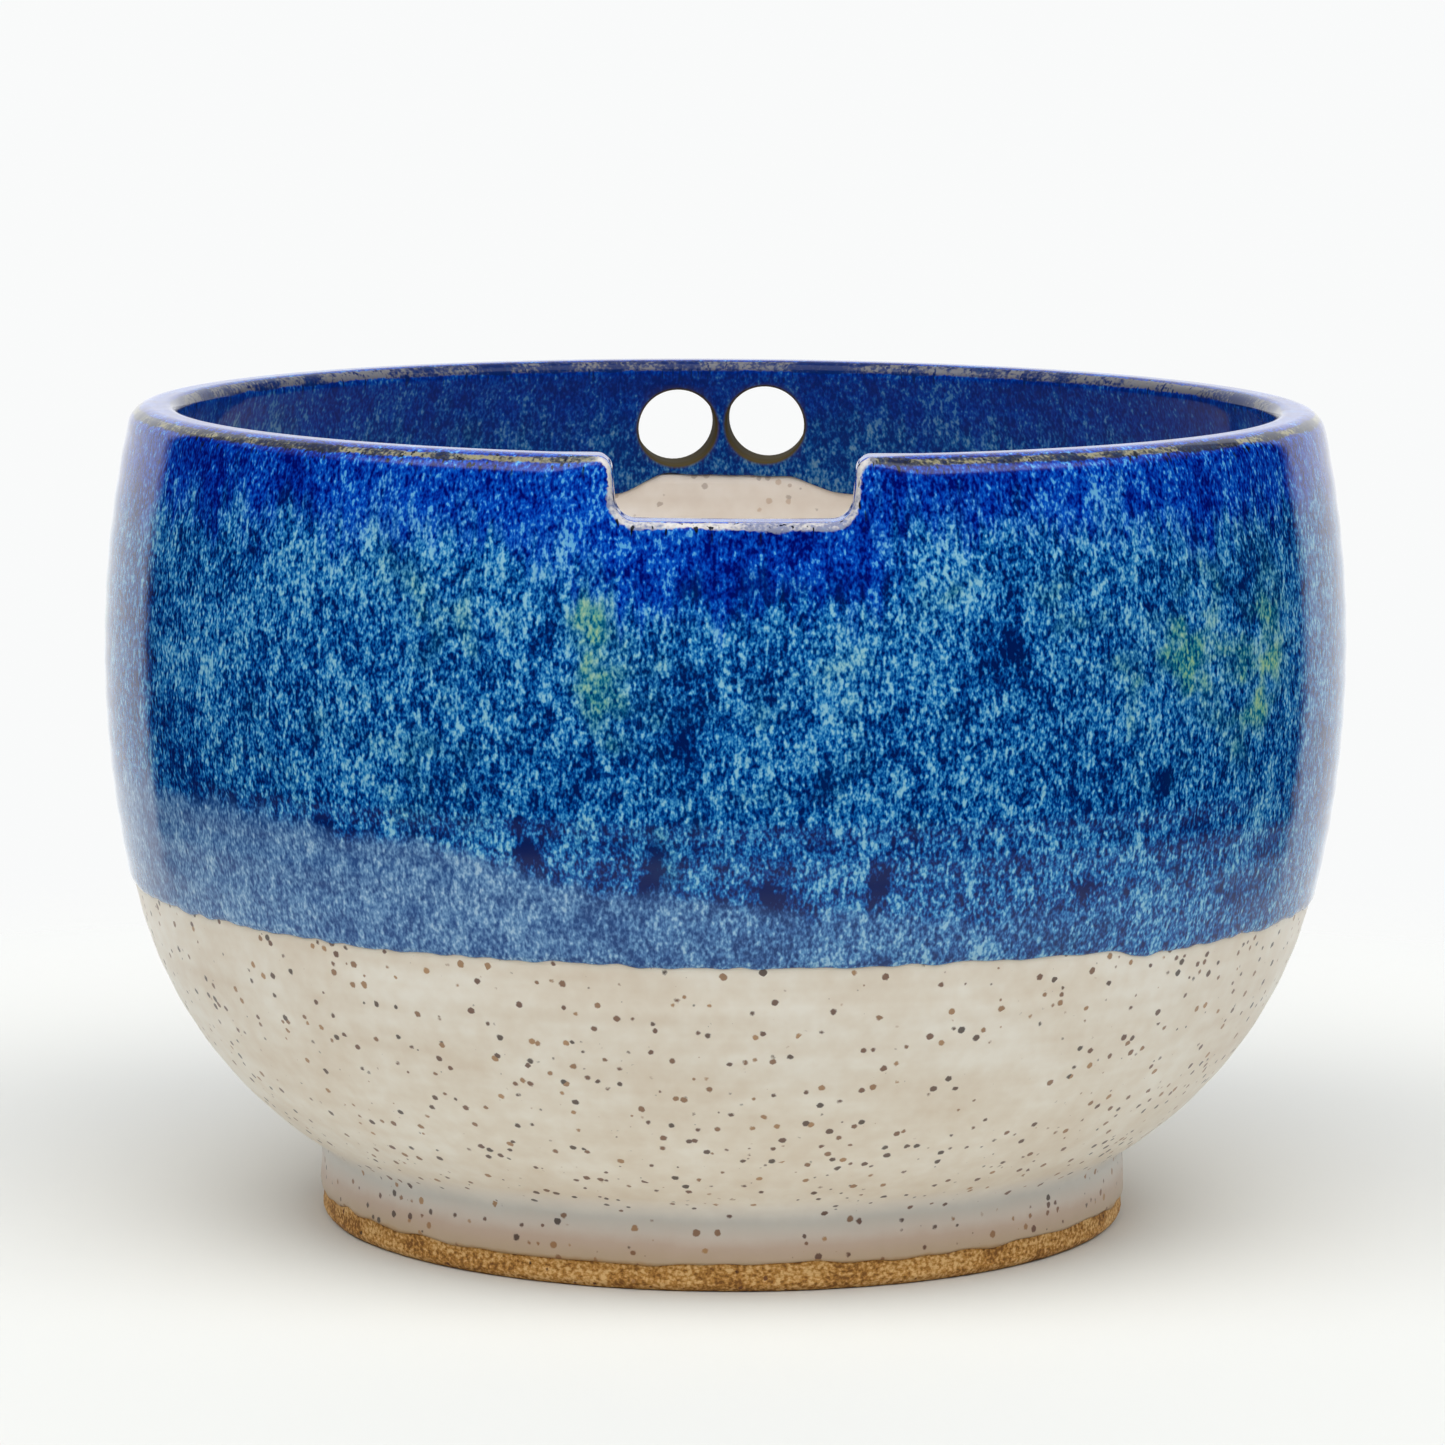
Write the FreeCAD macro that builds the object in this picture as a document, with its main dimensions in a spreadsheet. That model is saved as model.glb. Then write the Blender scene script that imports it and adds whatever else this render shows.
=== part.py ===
"""Stoneware yarn bowl: a wheel-thrown bowl on a foot ring, under one blue and two white coats of glaze.

The clay is drawn from two outlines, the outside and the inside of the wall. Every glaze coat is the
same outline moved out from the clay by the coat's thickness, so a coat always follows the pot.
Millimetres, +Z up, the origin at the centre of the circle that the pot stands on. The yarn notch
faces -Y and the two needle holes are opposite it, at +Y.
"""

import FreeCAD
import Part

import math
import os

import Sketcher

SIZES = {
    # The wall, as bare clay.
    "belly_radius": 74.2,
    "belly_height": 69.0,
    "side_arc_radius": 126.2,
    "rim_height": 97.8,
    "wall_thickness": 4.2,
    "lip_edge_radius": 1.3,
    "turn_height": 40.0,
    "junction_radius": 48.5,
    "inner_turn_height": 46.0,
    "floor_thickness": 6.5,
    # The foot ring.
    "foot_height": 9.4,
    "foot_splay": 0.4,
    "foot_edge_radius": 1.2,
    "foot_width": 8.5,
    "foot_lean_angle": 10.0,
    # The notch in the rim.
    "notch_width": 28.6,
    "notch_depth": 7.0,
    "notch_offset": 0.8,
    "notch_lean_angle": 5.0,
    "notch_corner_radius": 3.2,
    "notch_brow_radius": 0.9,
    # The two round holes, each as deep as this below the clay's rim, halfway through the wall.
    "hole_radius": 5.1,
    "left_hole_angle": 5.5,
    "left_hole_depth": 7.9,
    "right_hole_angle": 4.3,
    "right_hole_depth": 7.4,
    "hole_tilt_angle": 5.0,
    # The glaze coats. The blue one is as thick as this over bare clay, and thinner over the white.
    "white_coat": 0.4,
    "blue_coat": 0.8,
    "bare_band_height": 3.3,
    "blue_outside_height": 41.6,
    "outside_overlap": 9.4,
    "blue_inside_depth": 15.4,
    "inside_overlap": 1.2,
}

TOOL_MARGIN = 10.0
START, END, CENTRE = 1, 2, 3
ORIGIN = (-1, 1)
VERTICAL_AXIS = -2

doc = FreeCAD.newDocument("yarn_bowl")
sheet = doc.addObject("Spreadsheet::Sheet", "Sizes")
for row, (alias, number) in enumerate(SIZES.items(), start=1):
    sheet.set(f"A{row}", alias)
    sheet.set(f"B{row}", str(number))
    sheet.setAlias(f"B{row}", alias)
doc.recompute()


def degrees_of(alias):
    """The formula of an angle that the sheet holds as a plain number of degrees."""
    return f"(Sizes.{alias} * 1 deg)"


def number_of(formula):
    """What a formula comes to now: millimetres, or degrees for an angle."""
    result = sheet.evalExpression(formula)
    return float(getattr(result, "Value", result))


# Formulas that more than one piece shares.
SIDE_CENTRE = "(Sizes.belly_radius - Sizes.side_arc_radius)"
# The spoke from the side arc's centre falls by this much below the level where the under arc takes over.
TURN_ANGLE = "asin((Sizes.belly_height - Sizes.turn_height) / Sizes.side_arc_radius)"
INNER_TURN_ANGLE = (
    "asin((Sizes.belly_height - Sizes.inner_turn_height) / (Sizes.side_arc_radius - Sizes.wall_thickness))"
)
TURN_RADIUS = f"({SIDE_CENTRE} + Sizes.side_arc_radius * cos({TURN_ANGLE}))"
# The one arc that is tangent to the side arc at the turn and passes through the junction with the foot.
CHORD_SQUARED = (
    f"(({TURN_RADIUS} - Sizes.junction_radius) ^ 2 + (Sizes.turn_height - Sizes.foot_height) ^ 2)"
)
CHORD_INTO_ARC = (
    f"(({TURN_RADIUS} - Sizes.junction_radius) * cos({TURN_ANGLE})"
    f" - (Sizes.turn_height - Sizes.foot_height) * sin({TURN_ANGLE}))"
)
LIP_ANGLE = (
    "asin((Sizes.rim_height - Sizes.lip_edge_radius - Sizes.belly_height)"
    " / (Sizes.side_arc_radius - Sizes.lip_edge_radius))"
)
UNDER_ARC_RADIUS = f"({CHORD_SQUARED} / (2 * {CHORD_INTO_ARC}))"
FOOT_RADIUS = "(Sizes.junction_radius + Sizes.foot_splay)"
# The foot's side leans from the junction to where it would meet the ground, if its edge were sharp.
FOOT_SIDE_SLOPE = "(Sizes.foot_splay / Sizes.foot_height)"
FLOOR_HEIGHT = "(Sizes.foot_height + Sizes.floor_thickness)"
MIDDLE_ARC_RADIUS = "(Sizes.side_arc_radius - Sizes.wall_thickness / 2)"
WHITE_TOP_HEIGHT = "(Sizes.blue_outside_height + Sizes.outside_overlap)"
BLUE_INSIDE_HEIGHT = "(Sizes.rim_height - Sizes.blue_inside_depth)"
LINER_TOP_HEIGHT = f"({BLUE_INSIDE_HEIGHT} + Sizes.inside_overlap)"


def middle_radius_at(height):
    """The formula of the radius halfway through the side wall, at a height."""
    return f"({SIDE_CENTRE} + sqrt({MIDDLE_ARC_RADIUS} ^ 2 - ({height} - Sizes.belly_height) ^ 2))"


def foot_side_radius_at(height):
    """The formula of the radius of the foot's outer side, at a height."""
    return f"({FOOT_RADIUS} - {FOOT_SIDE_SLOPE} * {height})"


class Outline:
    """A sketch on one of its own body's origin planes, whose sizes are bound to the sheet."""

    def __init__(self, body, name, role="XZ_Plane"):
        plane = next(f for f in body.Origin.OriginFeatures if f.Role == role)
        self.sketch = body.newObject("Sketcher::SketchObject", name)
        self.sketch.AttachmentSupport = (plane, "")
        self.sketch.MapMode = "FlatFace"

    def line(self, start, end, construction=False):
        """Adds a line between two places given as pairs of formulas, and returns its number."""
        ends = [FreeCAD.Vector(number_of(x), number_of(y), 0) for x, y in (start, end)]
        return self.sketch.addGeometry(Part.LineSegment(*ends), construction)

    def arc(self, centre, radius, first, last):
        """Adds an arc, anticlockwise from first to last in degrees, and returns its number."""
        middle = FreeCAD.Vector(number_of(centre[0]), number_of(centre[1]), 0)
        circle = Part.Circle(middle, FreeCAD.Vector(0, 0, 1), number_of(radius))
        return self.sketch.addGeometry(Part.ArcOfCircle(circle, math.radians(first), math.radians(last)))

    def tie(self, kind, *places):
        """Adds a relation that has no size, such as Tangent or Coincident."""
        self.sketch.addConstraint(Sketcher.Constraint(kind, *places))

    def size(self, kind, places, formula):
        """Adds a relation with a size, bound to a formula on the sheet."""
        value = number_of(formula)
        if kind == "Angle":
            value = math.radians(value)
        index = self.sketch.addConstraint(Sketcher.Constraint(kind, *places, value))
        self.sketch.setExpression(f"Constraints[{index}]", formula)

    def height(self, place, formula):
        """Puts a point at a height above the circle that the pot stands on."""
        self.size("DistanceY", (*ORIGIN, *place), formula)

    def radius(self, place, formula):
        """Puts a point at a distance from the pot's axis."""
        self.size("DistanceX", (*ORIGIN, *place), formula)


def side_arc(outline, radius, lower_angle, upper_angle):
    """Adds a side arc, centred inside the axis at the belly's height."""
    arc = outline.arc((SIDE_CENTRE, "Sizes.belly_height"), radius, lower_angle, upper_angle)
    outline.size("DistanceX", (arc, CENTRE, *ORIGIN), f"-{SIDE_CENTRE}")
    outline.height((arc, CENTRE), "Sizes.belly_height")
    outline.size("Radius", (arc,), radius)
    return arc


def end_at_angle(outline, arc, radius, angle):
    """Ends a side arc's lower end on a spoke that falls below the level by an angle."""
    tip = (f"{SIDE_CENTRE} + {radius} * cos({angle})", f"Sizes.belly_height - {radius} * sin({angle})")
    spoke = outline.line((SIDE_CENTRE, "Sizes.belly_height"), tip, construction=True)
    outline.tie("Coincident", spoke, START, arc, CENTRE)
    outline.tie("Coincident", spoke, END, arc, START)
    outline.size("Angle", (spoke,), f"-{angle}")


def draw_outside(outline, coat):
    """Adds the outside of the wall, moved out by a coat: the under arc and the side arc, tangent."""
    radius = f"(Sizes.side_arc_radius + {coat})"
    side = side_arc(outline, radius, -number_of(TURN_ANGLE), number_of(LIP_ANGLE))
    end_at_angle(outline, side, radius, TURN_ANGLE)
    inward = f"(Sizes.side_arc_radius - {UNDER_ARC_RADIUS})"
    across, down = f"{inward} * cos({TURN_ANGLE})", f"{inward} * sin({TURN_ANGLE})"
    centre = (f"{SIDE_CENTRE} + {across}", f"Sizes.belly_height - {down}")
    under = outline.arc(centre, f"{UNDER_ARC_RADIUS} + {coat}", -60, -number_of(TURN_ANGLE))
    outline.tie("Tangent", under, END, side, START)
    outline.size("Radius", (under,), f"{UNDER_ARC_RADIUS} + {coat}")
    return under, side


def draw_inside(outline, coat):
    """Adds the inside of the wall, moved in by a coat: the side arc, the floor arc and the flat floor."""
    radius = f"(Sizes.side_arc_radius - Sizes.wall_thickness - {coat})"
    angle = INNER_TURN_ANGLE
    side = side_arc(outline, radius, -number_of(angle), number_of(LIP_ANGLE))
    end_at_angle(outline, side, radius, angle)
    level = f"({FLOOR_HEIGHT} + {coat})"
    # The floor arc touches the side arc at the turn and the level floor at its lowest point.
    turn_x = f"({SIDE_CENTRE} + {radius} * cos({angle}))"
    turn_z = f"(Sizes.belly_height - {radius} * sin({angle}))"
    bend = f"(({turn_z} - {level}) / (1 - sin({angle})))"
    centre = (f"{turn_x} - {bend} * cos({angle})", f"{level} + {bend}")
    arc = outline.arc(centre, bend, -90, -number_of(angle))
    outline.tie("Tangent", arc, END, side, START)
    floor = outline.line(("0", level), (centre[0], level))
    outline.tie("Tangent", floor, END, arc, START)
    outline.tie("Horizontal", floor)
    outline.tie("PointOnObject", floor, START, VERTICAL_AXIS)
    outline.height((floor, START), level)
    return floor, arc, side


def draw_lip(outline, outer_side, inner_side, coat):
    """Adds the lip: a level top with a small round at each edge, tangent to both sides of the wall."""
    top = f"(Sizes.rim_height + {coat})"
    edge = f"(Sizes.lip_edge_radius + {coat})"
    middle = middle_radius_at("Sizes.rim_height")
    reach = "(Sizes.wall_thickness / 2 - Sizes.lip_edge_radius)"
    lean = number_of(LIP_ANGLE)
    outer = outline.arc((f"{middle} + {reach}", f"{top} - {edge}"), edge, lean, 90)
    inner = outline.arc((f"{middle} - {reach}", f"{top} - {edge}"), edge, 90, 180 + lean)
    level = outline.line((f"{middle} + {reach}", top), (f"{middle} - {reach}", top))
    outline.tie("Tangent", outer_side, END, outer, START)
    outline.tie("Tangent", outer, END, level, START)
    outline.tie("Tangent", level, END, inner, START)
    outline.tie("Tangent", inner, END, inner_side, END)
    outline.tie("Horizontal", level)
    outline.height((level, START), top)
    for arc in (outer, inner):
        outline.size("Radius", (arc,), edge)


def draw_wall(outline, coat):
    """Adds the closed half section of the bowl, moved out from the clay all round by a coat."""
    under, outer_side = draw_outside(outline, coat)
    floor, _, inner_side = draw_inside(outline, coat)
    draw_lip(outline, outer_side, inner_side, coat)
    base = outline.line(("0", "Sizes.foot_height"), ("Sizes.junction_radius", "Sizes.foot_height"))
    axis = outline.line(("0", FLOOR_HEIGHT), ("0", "Sizes.foot_height"))
    outline.tie("Coincident", base, END, under, START)
    outline.tie("Coincident", axis, START, floor, START)
    outline.tie("Coincident", axis, END, base, START)
    outline.tie("Horizontal", base)
    outline.tie("Vertical", axis)
    outline.height((base, START), "Sizes.foot_height")


def turn_solid(body, outline):
    """Turns a closed half section all the way round the pot's axis."""
    turned = body.newObject("PartDesign::Revolution", outline.sketch.Name + "_turned")
    turned.Profile = outline.sketch
    turned.ReferenceAxis = (outline.sketch, ["V_Axis"])
    turned.Angle = 360.0
    doc.recompute()
    return turned


def cut_through(body, outline, towards_front):
    """Cuts an outline through one side of the wall, and checks that it took clay away."""
    before = body.Shape.Volume
    pocket = body.newObject("PartDesign::Pocket", outline.sketch.Name + "_cut")
    pocket.Profile = outline.sketch
    pocket.Type = "ThroughAll"
    pocket.Reversed = towards_front
    doc.recompute()
    if not body.Shape.Volume < before - 1.0:
        raise RuntimeError(f"{pocket.Name} cut nothing")


def cut_notch(body, coat):
    """Cuts the yarn notch: a level floor, round corners, leaning sides and brows that round into the rim."""
    outline = Outline(body, body.Name + "_notch")
    floor = f"(Sizes.rim_height - Sizes.notch_depth + {coat})"
    top = f"(Sizes.rim_height + {coat})"
    lean = degrees_of("notch_lean_angle")
    corner = f"(Sizes.notch_corner_radius - {coat})"
    brow = f"(Sizes.notch_brow_radius + {coat})"
    slope = f"tan({lean})"
    # Half the width where each side's line would meet the level of the notch floor.
    foot = f"(Sizes.notch_width / 2 - Sizes.notch_depth * {slope} + {coat} * {slope} - {coat} / cos({lean}))"
    head = f"({foot} + Sizes.notch_depth * {slope})"
    upper = f"({top} + {TOOL_MARGIN})"
    corner_run = f"({corner} * (1 - sin({lean})) / cos({lean}))"
    brow_run = f"({brow} * (1 - sin({lean})) / cos({lean}))"

    def place(side, across, level):
        """A place on one side of the notch's middle line."""
        return (f"Sizes.notch_offset + {side} * ({across})", level)

    bottom = outline.line(
        place(-1, f"{foot} - {corner_run}", floor), place(1, f"{foot} - {corner_run}", floor)
    )
    outline.tie("Horizontal", bottom)
    outline.height((bottom, START), floor)
    lid_ends = []
    for side, end_of_bottom in ((1, END), (-1, START)):
        lean_degrees = number_of("Sizes.notch_lean_angle")
        round_span = (-90, -lean_degrees) if side > 0 else (180 + lean_degrees, 270)
        brow_span = (90, 180 - lean_degrees) if side > 0 else (lean_degrees, 90)
        low = outline.arc(place(side, f"{foot} - {corner_run}", f"{floor} + {corner}"), corner, *round_span)
        leaning = outline.line(
            place(side, f"{foot} + {corner} * {slope}", f"{floor} + {corner}"),
            place(side, f"{head} - {brow} * {slope}", f"{top} - {brow}"),
        )
        high = outline.arc(place(side, f"{head} + {brow_run}", f"{top} - {brow}"), brow, *brow_span)
        rise = outline.line(
            place(side, f"{head} + {brow_run}", top), place(side, f"{head} + {brow_run}", upper)
        )
        # An arc always runs anticlockwise, so its ends swap from one side of the notch to the other.
        low_near, low_far = (START, END) if side > 0 else (END, START)
        high_near, high_far = (END, START) if side > 0 else (START, END)
        outline.tie("Tangent", bottom, end_of_bottom, low, low_near)
        outline.tie("Tangent", low, low_far, leaning, START)
        outline.tie("Tangent", leaning, END, high, high_near)
        outline.tie("Coincident", high, high_far, rise, START)
        outline.tie("Vertical", rise)
        outline.height((rise, START), top)
        outline.size("Radius", (low,), corner)
        outline.size("Radius", (high,), brow)
        # The top of each brow is level, so its centre stands straight below its end.
        spoke = outline.line(
            place(side, f"{head} + {brow_run}", f"{top} - {brow}"),
            place(side, f"{head} + {brow_run}", top),
            construction=True,
        )
        outline.tie("Coincident", spoke, START, high, CENTRE)
        outline.tie("Coincident", spoke, END, high, high_far)
        outline.tie("Vertical", spoke)
        outline.size("Angle", (leaning,), f"90 deg - {side} * {lean}")
        away = f"{head} + {brow_run} + {side} * Sizes.notch_offset"
        ends = (*ORIGIN, rise, START) if side > 0 else (rise, START, *ORIGIN)
        outline.size("DistanceX", ends, away)
        lid_ends.append(rise)
    lid = outline.line(
        place(1, f"{head} + {brow_run}", upper), place(-1, f"{head} + {brow_run}", upper)
    )
    outline.tie("Coincident", lid, START, lid_ends[0], END)
    outline.tie("Coincident", lid, END, lid_ends[1], END)
    outline.tie("Horizontal", lid)
    outline.height((lid, START), upper)
    cut_through(body, outline, towards_front=True)


def cut_holes(body):
    """Cuts the two needle holes, each along its own axis out through the back of the wall."""
    for name, side in (("left", -1), ("right", 1)):
        outline = Outline(body, f"{body.Name}_{name}_hole")
        sketch = outline.sketch
        circle = sketch.addGeometry(Part.Circle(FreeCAD.Vector(), FreeCAD.Vector(0, 0, 1), 1.0))
        outline.tie("Coincident", circle, CENTRE, *ORIGIN)
        outline.size("Radius", (circle,), "Sizes.hole_radius")
        # The sketch stands on the pot's axis and faces along the hole, so the cut leaves the front alone.
        height = f"(Sizes.rim_height - Sizes.{name}_hole_depth)"
        tilt = degrees_of("hole_tilt_angle")
        rise = f"{middle_radius_at(height)} * tan({tilt})"
        turn = f"-({side}) * {degrees_of(name + '_hole_angle')}"
        sketch.setExpression("AttachmentOffset.Base.y", f"{height} - {rise}")
        sketch.setExpression("AttachmentOffset.Rotation.Pitch", turn)
        sketch.setExpression("AttachmentOffset.Rotation.Roll", tilt)
        cut_through(body, outline, towards_front=False)


def make_bowl(name, coat):
    """A body with the bowl's own wall, notch and holes, moved out from the clay by a coat."""
    body = doc.addObject("PartDesign::Body", name)
    outline = Outline(body, name + "_section")
    draw_wall(outline, coat)
    turn_solid(body, outline)
    cut_notch(body, coat)
    cut_holes(body)
    return body


def make_foot_ring():
    """The foot ring: a flat ring with rounded edges to stand on, and a top that meets the bowl's base."""
    body = doc.addObject("PartDesign::Body", "foot_ring")
    outline = Outline(body, "foot_ring_section")
    edge = "Sizes.foot_edge_radius"
    lean = degrees_of("foot_lean_angle")
    inner_low = f"({FOOT_RADIUS} - Sizes.foot_width)"
    inner_high = f"({inner_low} - Sizes.foot_height * tan({lean}))"
    shoulder = ("Sizes.junction_radius", "Sizes.foot_height")
    outer_side = outline.line(shoulder, (foot_side_radius_at(edge), edge))
    outer_edge = outline.arc((f"{FOOT_RADIUS} - {edge}", edge), edge, -90, 0)
    ring = outline.line((f"{FOOT_RADIUS} - {edge}", "0"), (f"{inner_low} + {edge}", "0"))
    inner_edge = outline.arc((f"{inner_low} + {edge}", edge), edge, 180, 270)
    inner_side = outline.line((inner_low, edge), (inner_high, "Sizes.foot_height"))
    top = outline.line((inner_high, "Sizes.foot_height"), shoulder)
    outline.tie("Tangent", outer_side, END, outer_edge, END)
    outline.tie("Tangent", outer_edge, START, ring, START)
    outline.tie("Tangent", ring, END, inner_edge, END)
    outline.tie("Tangent", inner_edge, START, inner_side, START)
    outline.tie("Coincident", inner_side, END, top, START)
    outline.tie("Coincident", top, END, outer_side, START)
    outline.tie("Horizontal", ring)
    outline.tie("PointOnObject", ring, START, -1)
    outline.tie("Horizontal", top)
    outline.height((top, START), "Sizes.foot_height")
    outline.radius((top, END), "Sizes.junction_radius")
    outline.size("Angle", (outer_side,), f"atan({FOOT_SIDE_SLOPE}) - 90 deg")
    outline.radius((inner_edge, CENTRE), f"{inner_low} + {edge}")
    for arc in (outer_edge, inner_edge):
        outline.size("Radius", (arc,), edge)
    outline.size("Angle", (inner_side,), f"90 deg + {lean}")
    turn_solid(body, outline)
    return body


def make_white_outside():
    """The white coat outside, from the foot's bare band up to where it ends under the blue."""
    body = doc.addObject("PartDesign::Body", "white_glaze_outside")
    outline = Outline(body, "white_outside_section")
    low, high = "Sizes.bare_band_height", WHITE_TOP_HEIGHT
    ends = []
    for coat in ("0", "Sizes.white_coat"):
        under, side = draw_outside(outline, coat)
        # Beside the foot the coat stands off sideways, parallel to the foot's own side.
        at_low = f"({foot_side_radius_at(low)} + {coat})"
        foot = outline.line((at_low, low), (f"Sizes.junction_radius + {coat}", "Sizes.foot_height"))
        outline.tie("Coincident", foot, END, under, START)
        outline.height((foot, START), low)
        outline.radius((foot, START), at_low)
        outline.size("Angle", (foot,), f"90 deg + atan({FOOT_SIDE_SLOPE})")
        outline.height((side, END), high)
        ends.append((foot, side))
    (clay_foot, clay_side), (coat_foot, coat_side) = ends
    for clay, coat, end, level in ((clay_foot, coat_foot, START, low), (clay_side, coat_side, END, high)):
        near = middle_radius_at(high) if end == END else "Sizes.junction_radius"
        closing = outline.line((near, level), (f"{near} + Sizes.white_coat", level))
        outline.tie("Coincident", closing, START, clay, end)
        outline.tie("Coincident", closing, END, coat, end)
    turn_solid(body, outline)
    return body


def make_white_inside():
    """The white liner inside, over the floor and up to where it ends under the blue."""
    body = doc.addObject("PartDesign::Body", "white_glaze_inside")
    outline = Outline(body, "white_inside_section")
    floors, sides = [], []
    for coat in ("0", "Sizes.white_coat"):
        floor, _, side = draw_inside(outline, coat)
        outline.height((side, END), LINER_TOP_HEIGHT)
        floors.append(floor)
        sides.append(side)
    axis = outline.line(("0", FLOOR_HEIGHT), ("0", f"{FLOOR_HEIGHT} + Sizes.white_coat"))
    near = middle_radius_at(LINER_TOP_HEIGHT)
    closing = outline.line((near, LINER_TOP_HEIGHT), (f"{near} - Sizes.white_coat", LINER_TOP_HEIGHT))
    for line, pair, end in ((axis, floors, START), (closing, sides, END)):
        outline.tie("Coincident", line, START, pair[0], end)
        outline.tie("Coincident", line, END, pair[1], end)
    turn_solid(body, outline)
    return body


def make_blue(covered):
    """The blue coat over the rim: the bowl grown by the coat, where it was dipped, less what it covers."""
    grown = make_bowl("blue_coat_blank", "Sizes.blue_coat")
    dip = doc.addObject("PartDesign::Body", "blue_dip_reach")
    outline = Outline(dip, "blue_dip_section")
    low, high = "Sizes.blue_outside_height", BLUE_INSIDE_HEIGHT
    top = f"(Sizes.rim_height + {TOOL_MARGIN})"
    wide = f"(Sizes.belly_radius + {TOOL_MARGIN})"
    middle = side_arc(
        outline,
        MIDDLE_ARC_RADIUS,
        math.degrees(math.asin(number_of(f"({low} - Sizes.belly_height) / {MIDDLE_ARC_RADIUS}"))),
        math.degrees(math.asin(number_of(f"({high} - Sizes.belly_height) / {MIDDLE_ARC_RADIUS}"))),
    )
    corners = [(middle_radius_at(low), low), (wide, low), (wide, top), ("0", top), ("0", high)]
    corners.append((middle_radius_at(high), high))
    lines = [outline.line(start, end) for start, end in zip(corners, corners[1:])]
    outline.tie("Coincident", middle, START, lines[0], START)
    outline.tie("Coincident", middle, END, lines[-1], END)
    for first, second in zip(lines, lines[1:]):
        outline.tie("Coincident", first, END, second, START)
    for line, direction in zip(lines, ("Horizontal", "Vertical", "Horizontal", "Vertical", "Horizontal")):
        outline.tie(direction, line)
    outline.tie("PointOnObject", lines[3], START, VERTICAL_AXIS)
    outline.height((lines[0], START), low)
    outline.height((lines[2], START), top)
    outline.height((lines[4], START), high)
    outline.radius((lines[1], START), wide)
    turn_solid(dip, outline)

    dipped = doc.addObject("Part::Common", "blue_dipped")
    dipped.Base, dipped.Tool = grown, dip
    under = doc.addObject("Part::MultiFuse", "under_the_blue")
    under.Shapes = covered
    blue = doc.addObject("Part::Cut", "blue_glaze")
    blue.Base, blue.Tool = dipped, under
    doc.recompute()
    return blue


thrown_bowl = make_bowl("thrown_bowl", "0")
foot_ring = make_foot_ring()
white_outside = make_white_outside()
white_inside = make_white_inside()
blue = make_blue([thrown_bowl, white_outside, white_inside])
doc.recompute()

NODES = {
    "thrown_bowl": thrown_bowl,
    "foot_ring": foot_ring,
    "white_glaze_outside": white_outside,
    "white_glaze_inside": white_inside,
    "blue_glaze": blue,
}

for thing in doc.Objects:
    if "Invalid" in thing.State or "Error" in thing.State:
        raise RuntimeError(f"{thing.Name} did not recompute: {thing.State}")
for name, thing in NODES.items():
    thing.Label = name
    shape = thing.Shape
    if shape.isNull() or not shape.isValid() or len(shape.Solids) != 1:
        raise RuntimeError(f"{name} is not one sound solid")

os.makedirs("parts", exist_ok=True)
for name, thing in NODES.items():
    thing.Shape.exportStep(f"parts/{name}.step")
    box = thing.Shape.BoundBox
    print(
        f"{name}: {thing.Shape.Volume:.0f} mm3, x {box.XMin:.2f} to {box.XMax:.2f},"
        f" y {box.YMin:.2f} to {box.YMax:.2f}, z {box.ZMin:.2f} to {box.ZMax:.2f}"
    )
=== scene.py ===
"""The looks of a wheel-thrown stoneware yarn bowl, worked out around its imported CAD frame.

The clay, the foot ring and the three coats of glaze are each one closed mesh, computed with numpy
from the same wall section, so every coat follows the clay under it. Lengths in the classes are
millimetres and turn into metres when a mesh is made. Angles round the pot, called bearings, start
at the middle of the yarn notch (-Y) and grow towards +X.
"""

import logging
import math
from dataclasses import dataclass
from enum import Enum
from typing import Any, Callable

import bpy
import numpy as np
from mathutils import Euler, Matrix


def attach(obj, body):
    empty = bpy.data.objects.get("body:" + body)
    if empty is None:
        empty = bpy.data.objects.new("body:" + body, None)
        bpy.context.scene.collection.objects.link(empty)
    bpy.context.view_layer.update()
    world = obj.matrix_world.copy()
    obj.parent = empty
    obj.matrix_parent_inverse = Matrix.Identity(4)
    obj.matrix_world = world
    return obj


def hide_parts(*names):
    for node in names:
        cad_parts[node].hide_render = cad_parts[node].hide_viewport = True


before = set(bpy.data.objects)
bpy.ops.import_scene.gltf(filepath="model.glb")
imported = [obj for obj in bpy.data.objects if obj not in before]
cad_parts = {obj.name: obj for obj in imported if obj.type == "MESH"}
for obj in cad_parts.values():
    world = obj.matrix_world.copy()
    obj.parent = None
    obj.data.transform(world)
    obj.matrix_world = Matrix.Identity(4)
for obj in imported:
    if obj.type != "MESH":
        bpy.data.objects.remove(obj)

LOG = logging.getLogger("yarn_bowl")
MM = 0.001
SEED = 20
FULL_TURN = 2 * math.pi
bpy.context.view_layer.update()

Array = np.ndarray
Socket = bpy.types.NodeSocket
Tree = bpy.types.ShaderNodeTree


def smooth_step(value: Array, low: float, high: float) -> Array:
    """Rises from 0 at low to 1 at high as 3t squared minus 2t cubed."""
    t = np.clip((value - low) / (high - low), 0.0, 1.0)
    return t * t * (3.0 - 2.0 * t)


def waves(bearing: Array, size: float, first: int, last: int, seed: int) -> Array:
    """A closed wavy line round the pot: a sum of sines whose phases are drawn from a seed.

    Args:
        bearing: Where it is wanted, in radians.
        size: The line's usual height, in millimetres.
        first: The fewest waves in one turn.
        last: The most waves in one turn. Finer waves are lower, as one over their number's root.
        seed: The seed of the phases.

    Returns:
        The height of the line above its middle, in millimetres.
    """
    draw = np.random.default_rng(seed)
    count = np.arange(first, last + 1)
    phase = draw.uniform(0, FULL_TURN, len(count))
    weight = draw.uniform(0.4, 1.0, len(count)) / np.sqrt(count)
    weight *= size / math.sqrt(float((weight**2).sum()) / 2)
    return (weight * np.sin(bearing[..., None] * count + phase)).sum(-1)


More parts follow.
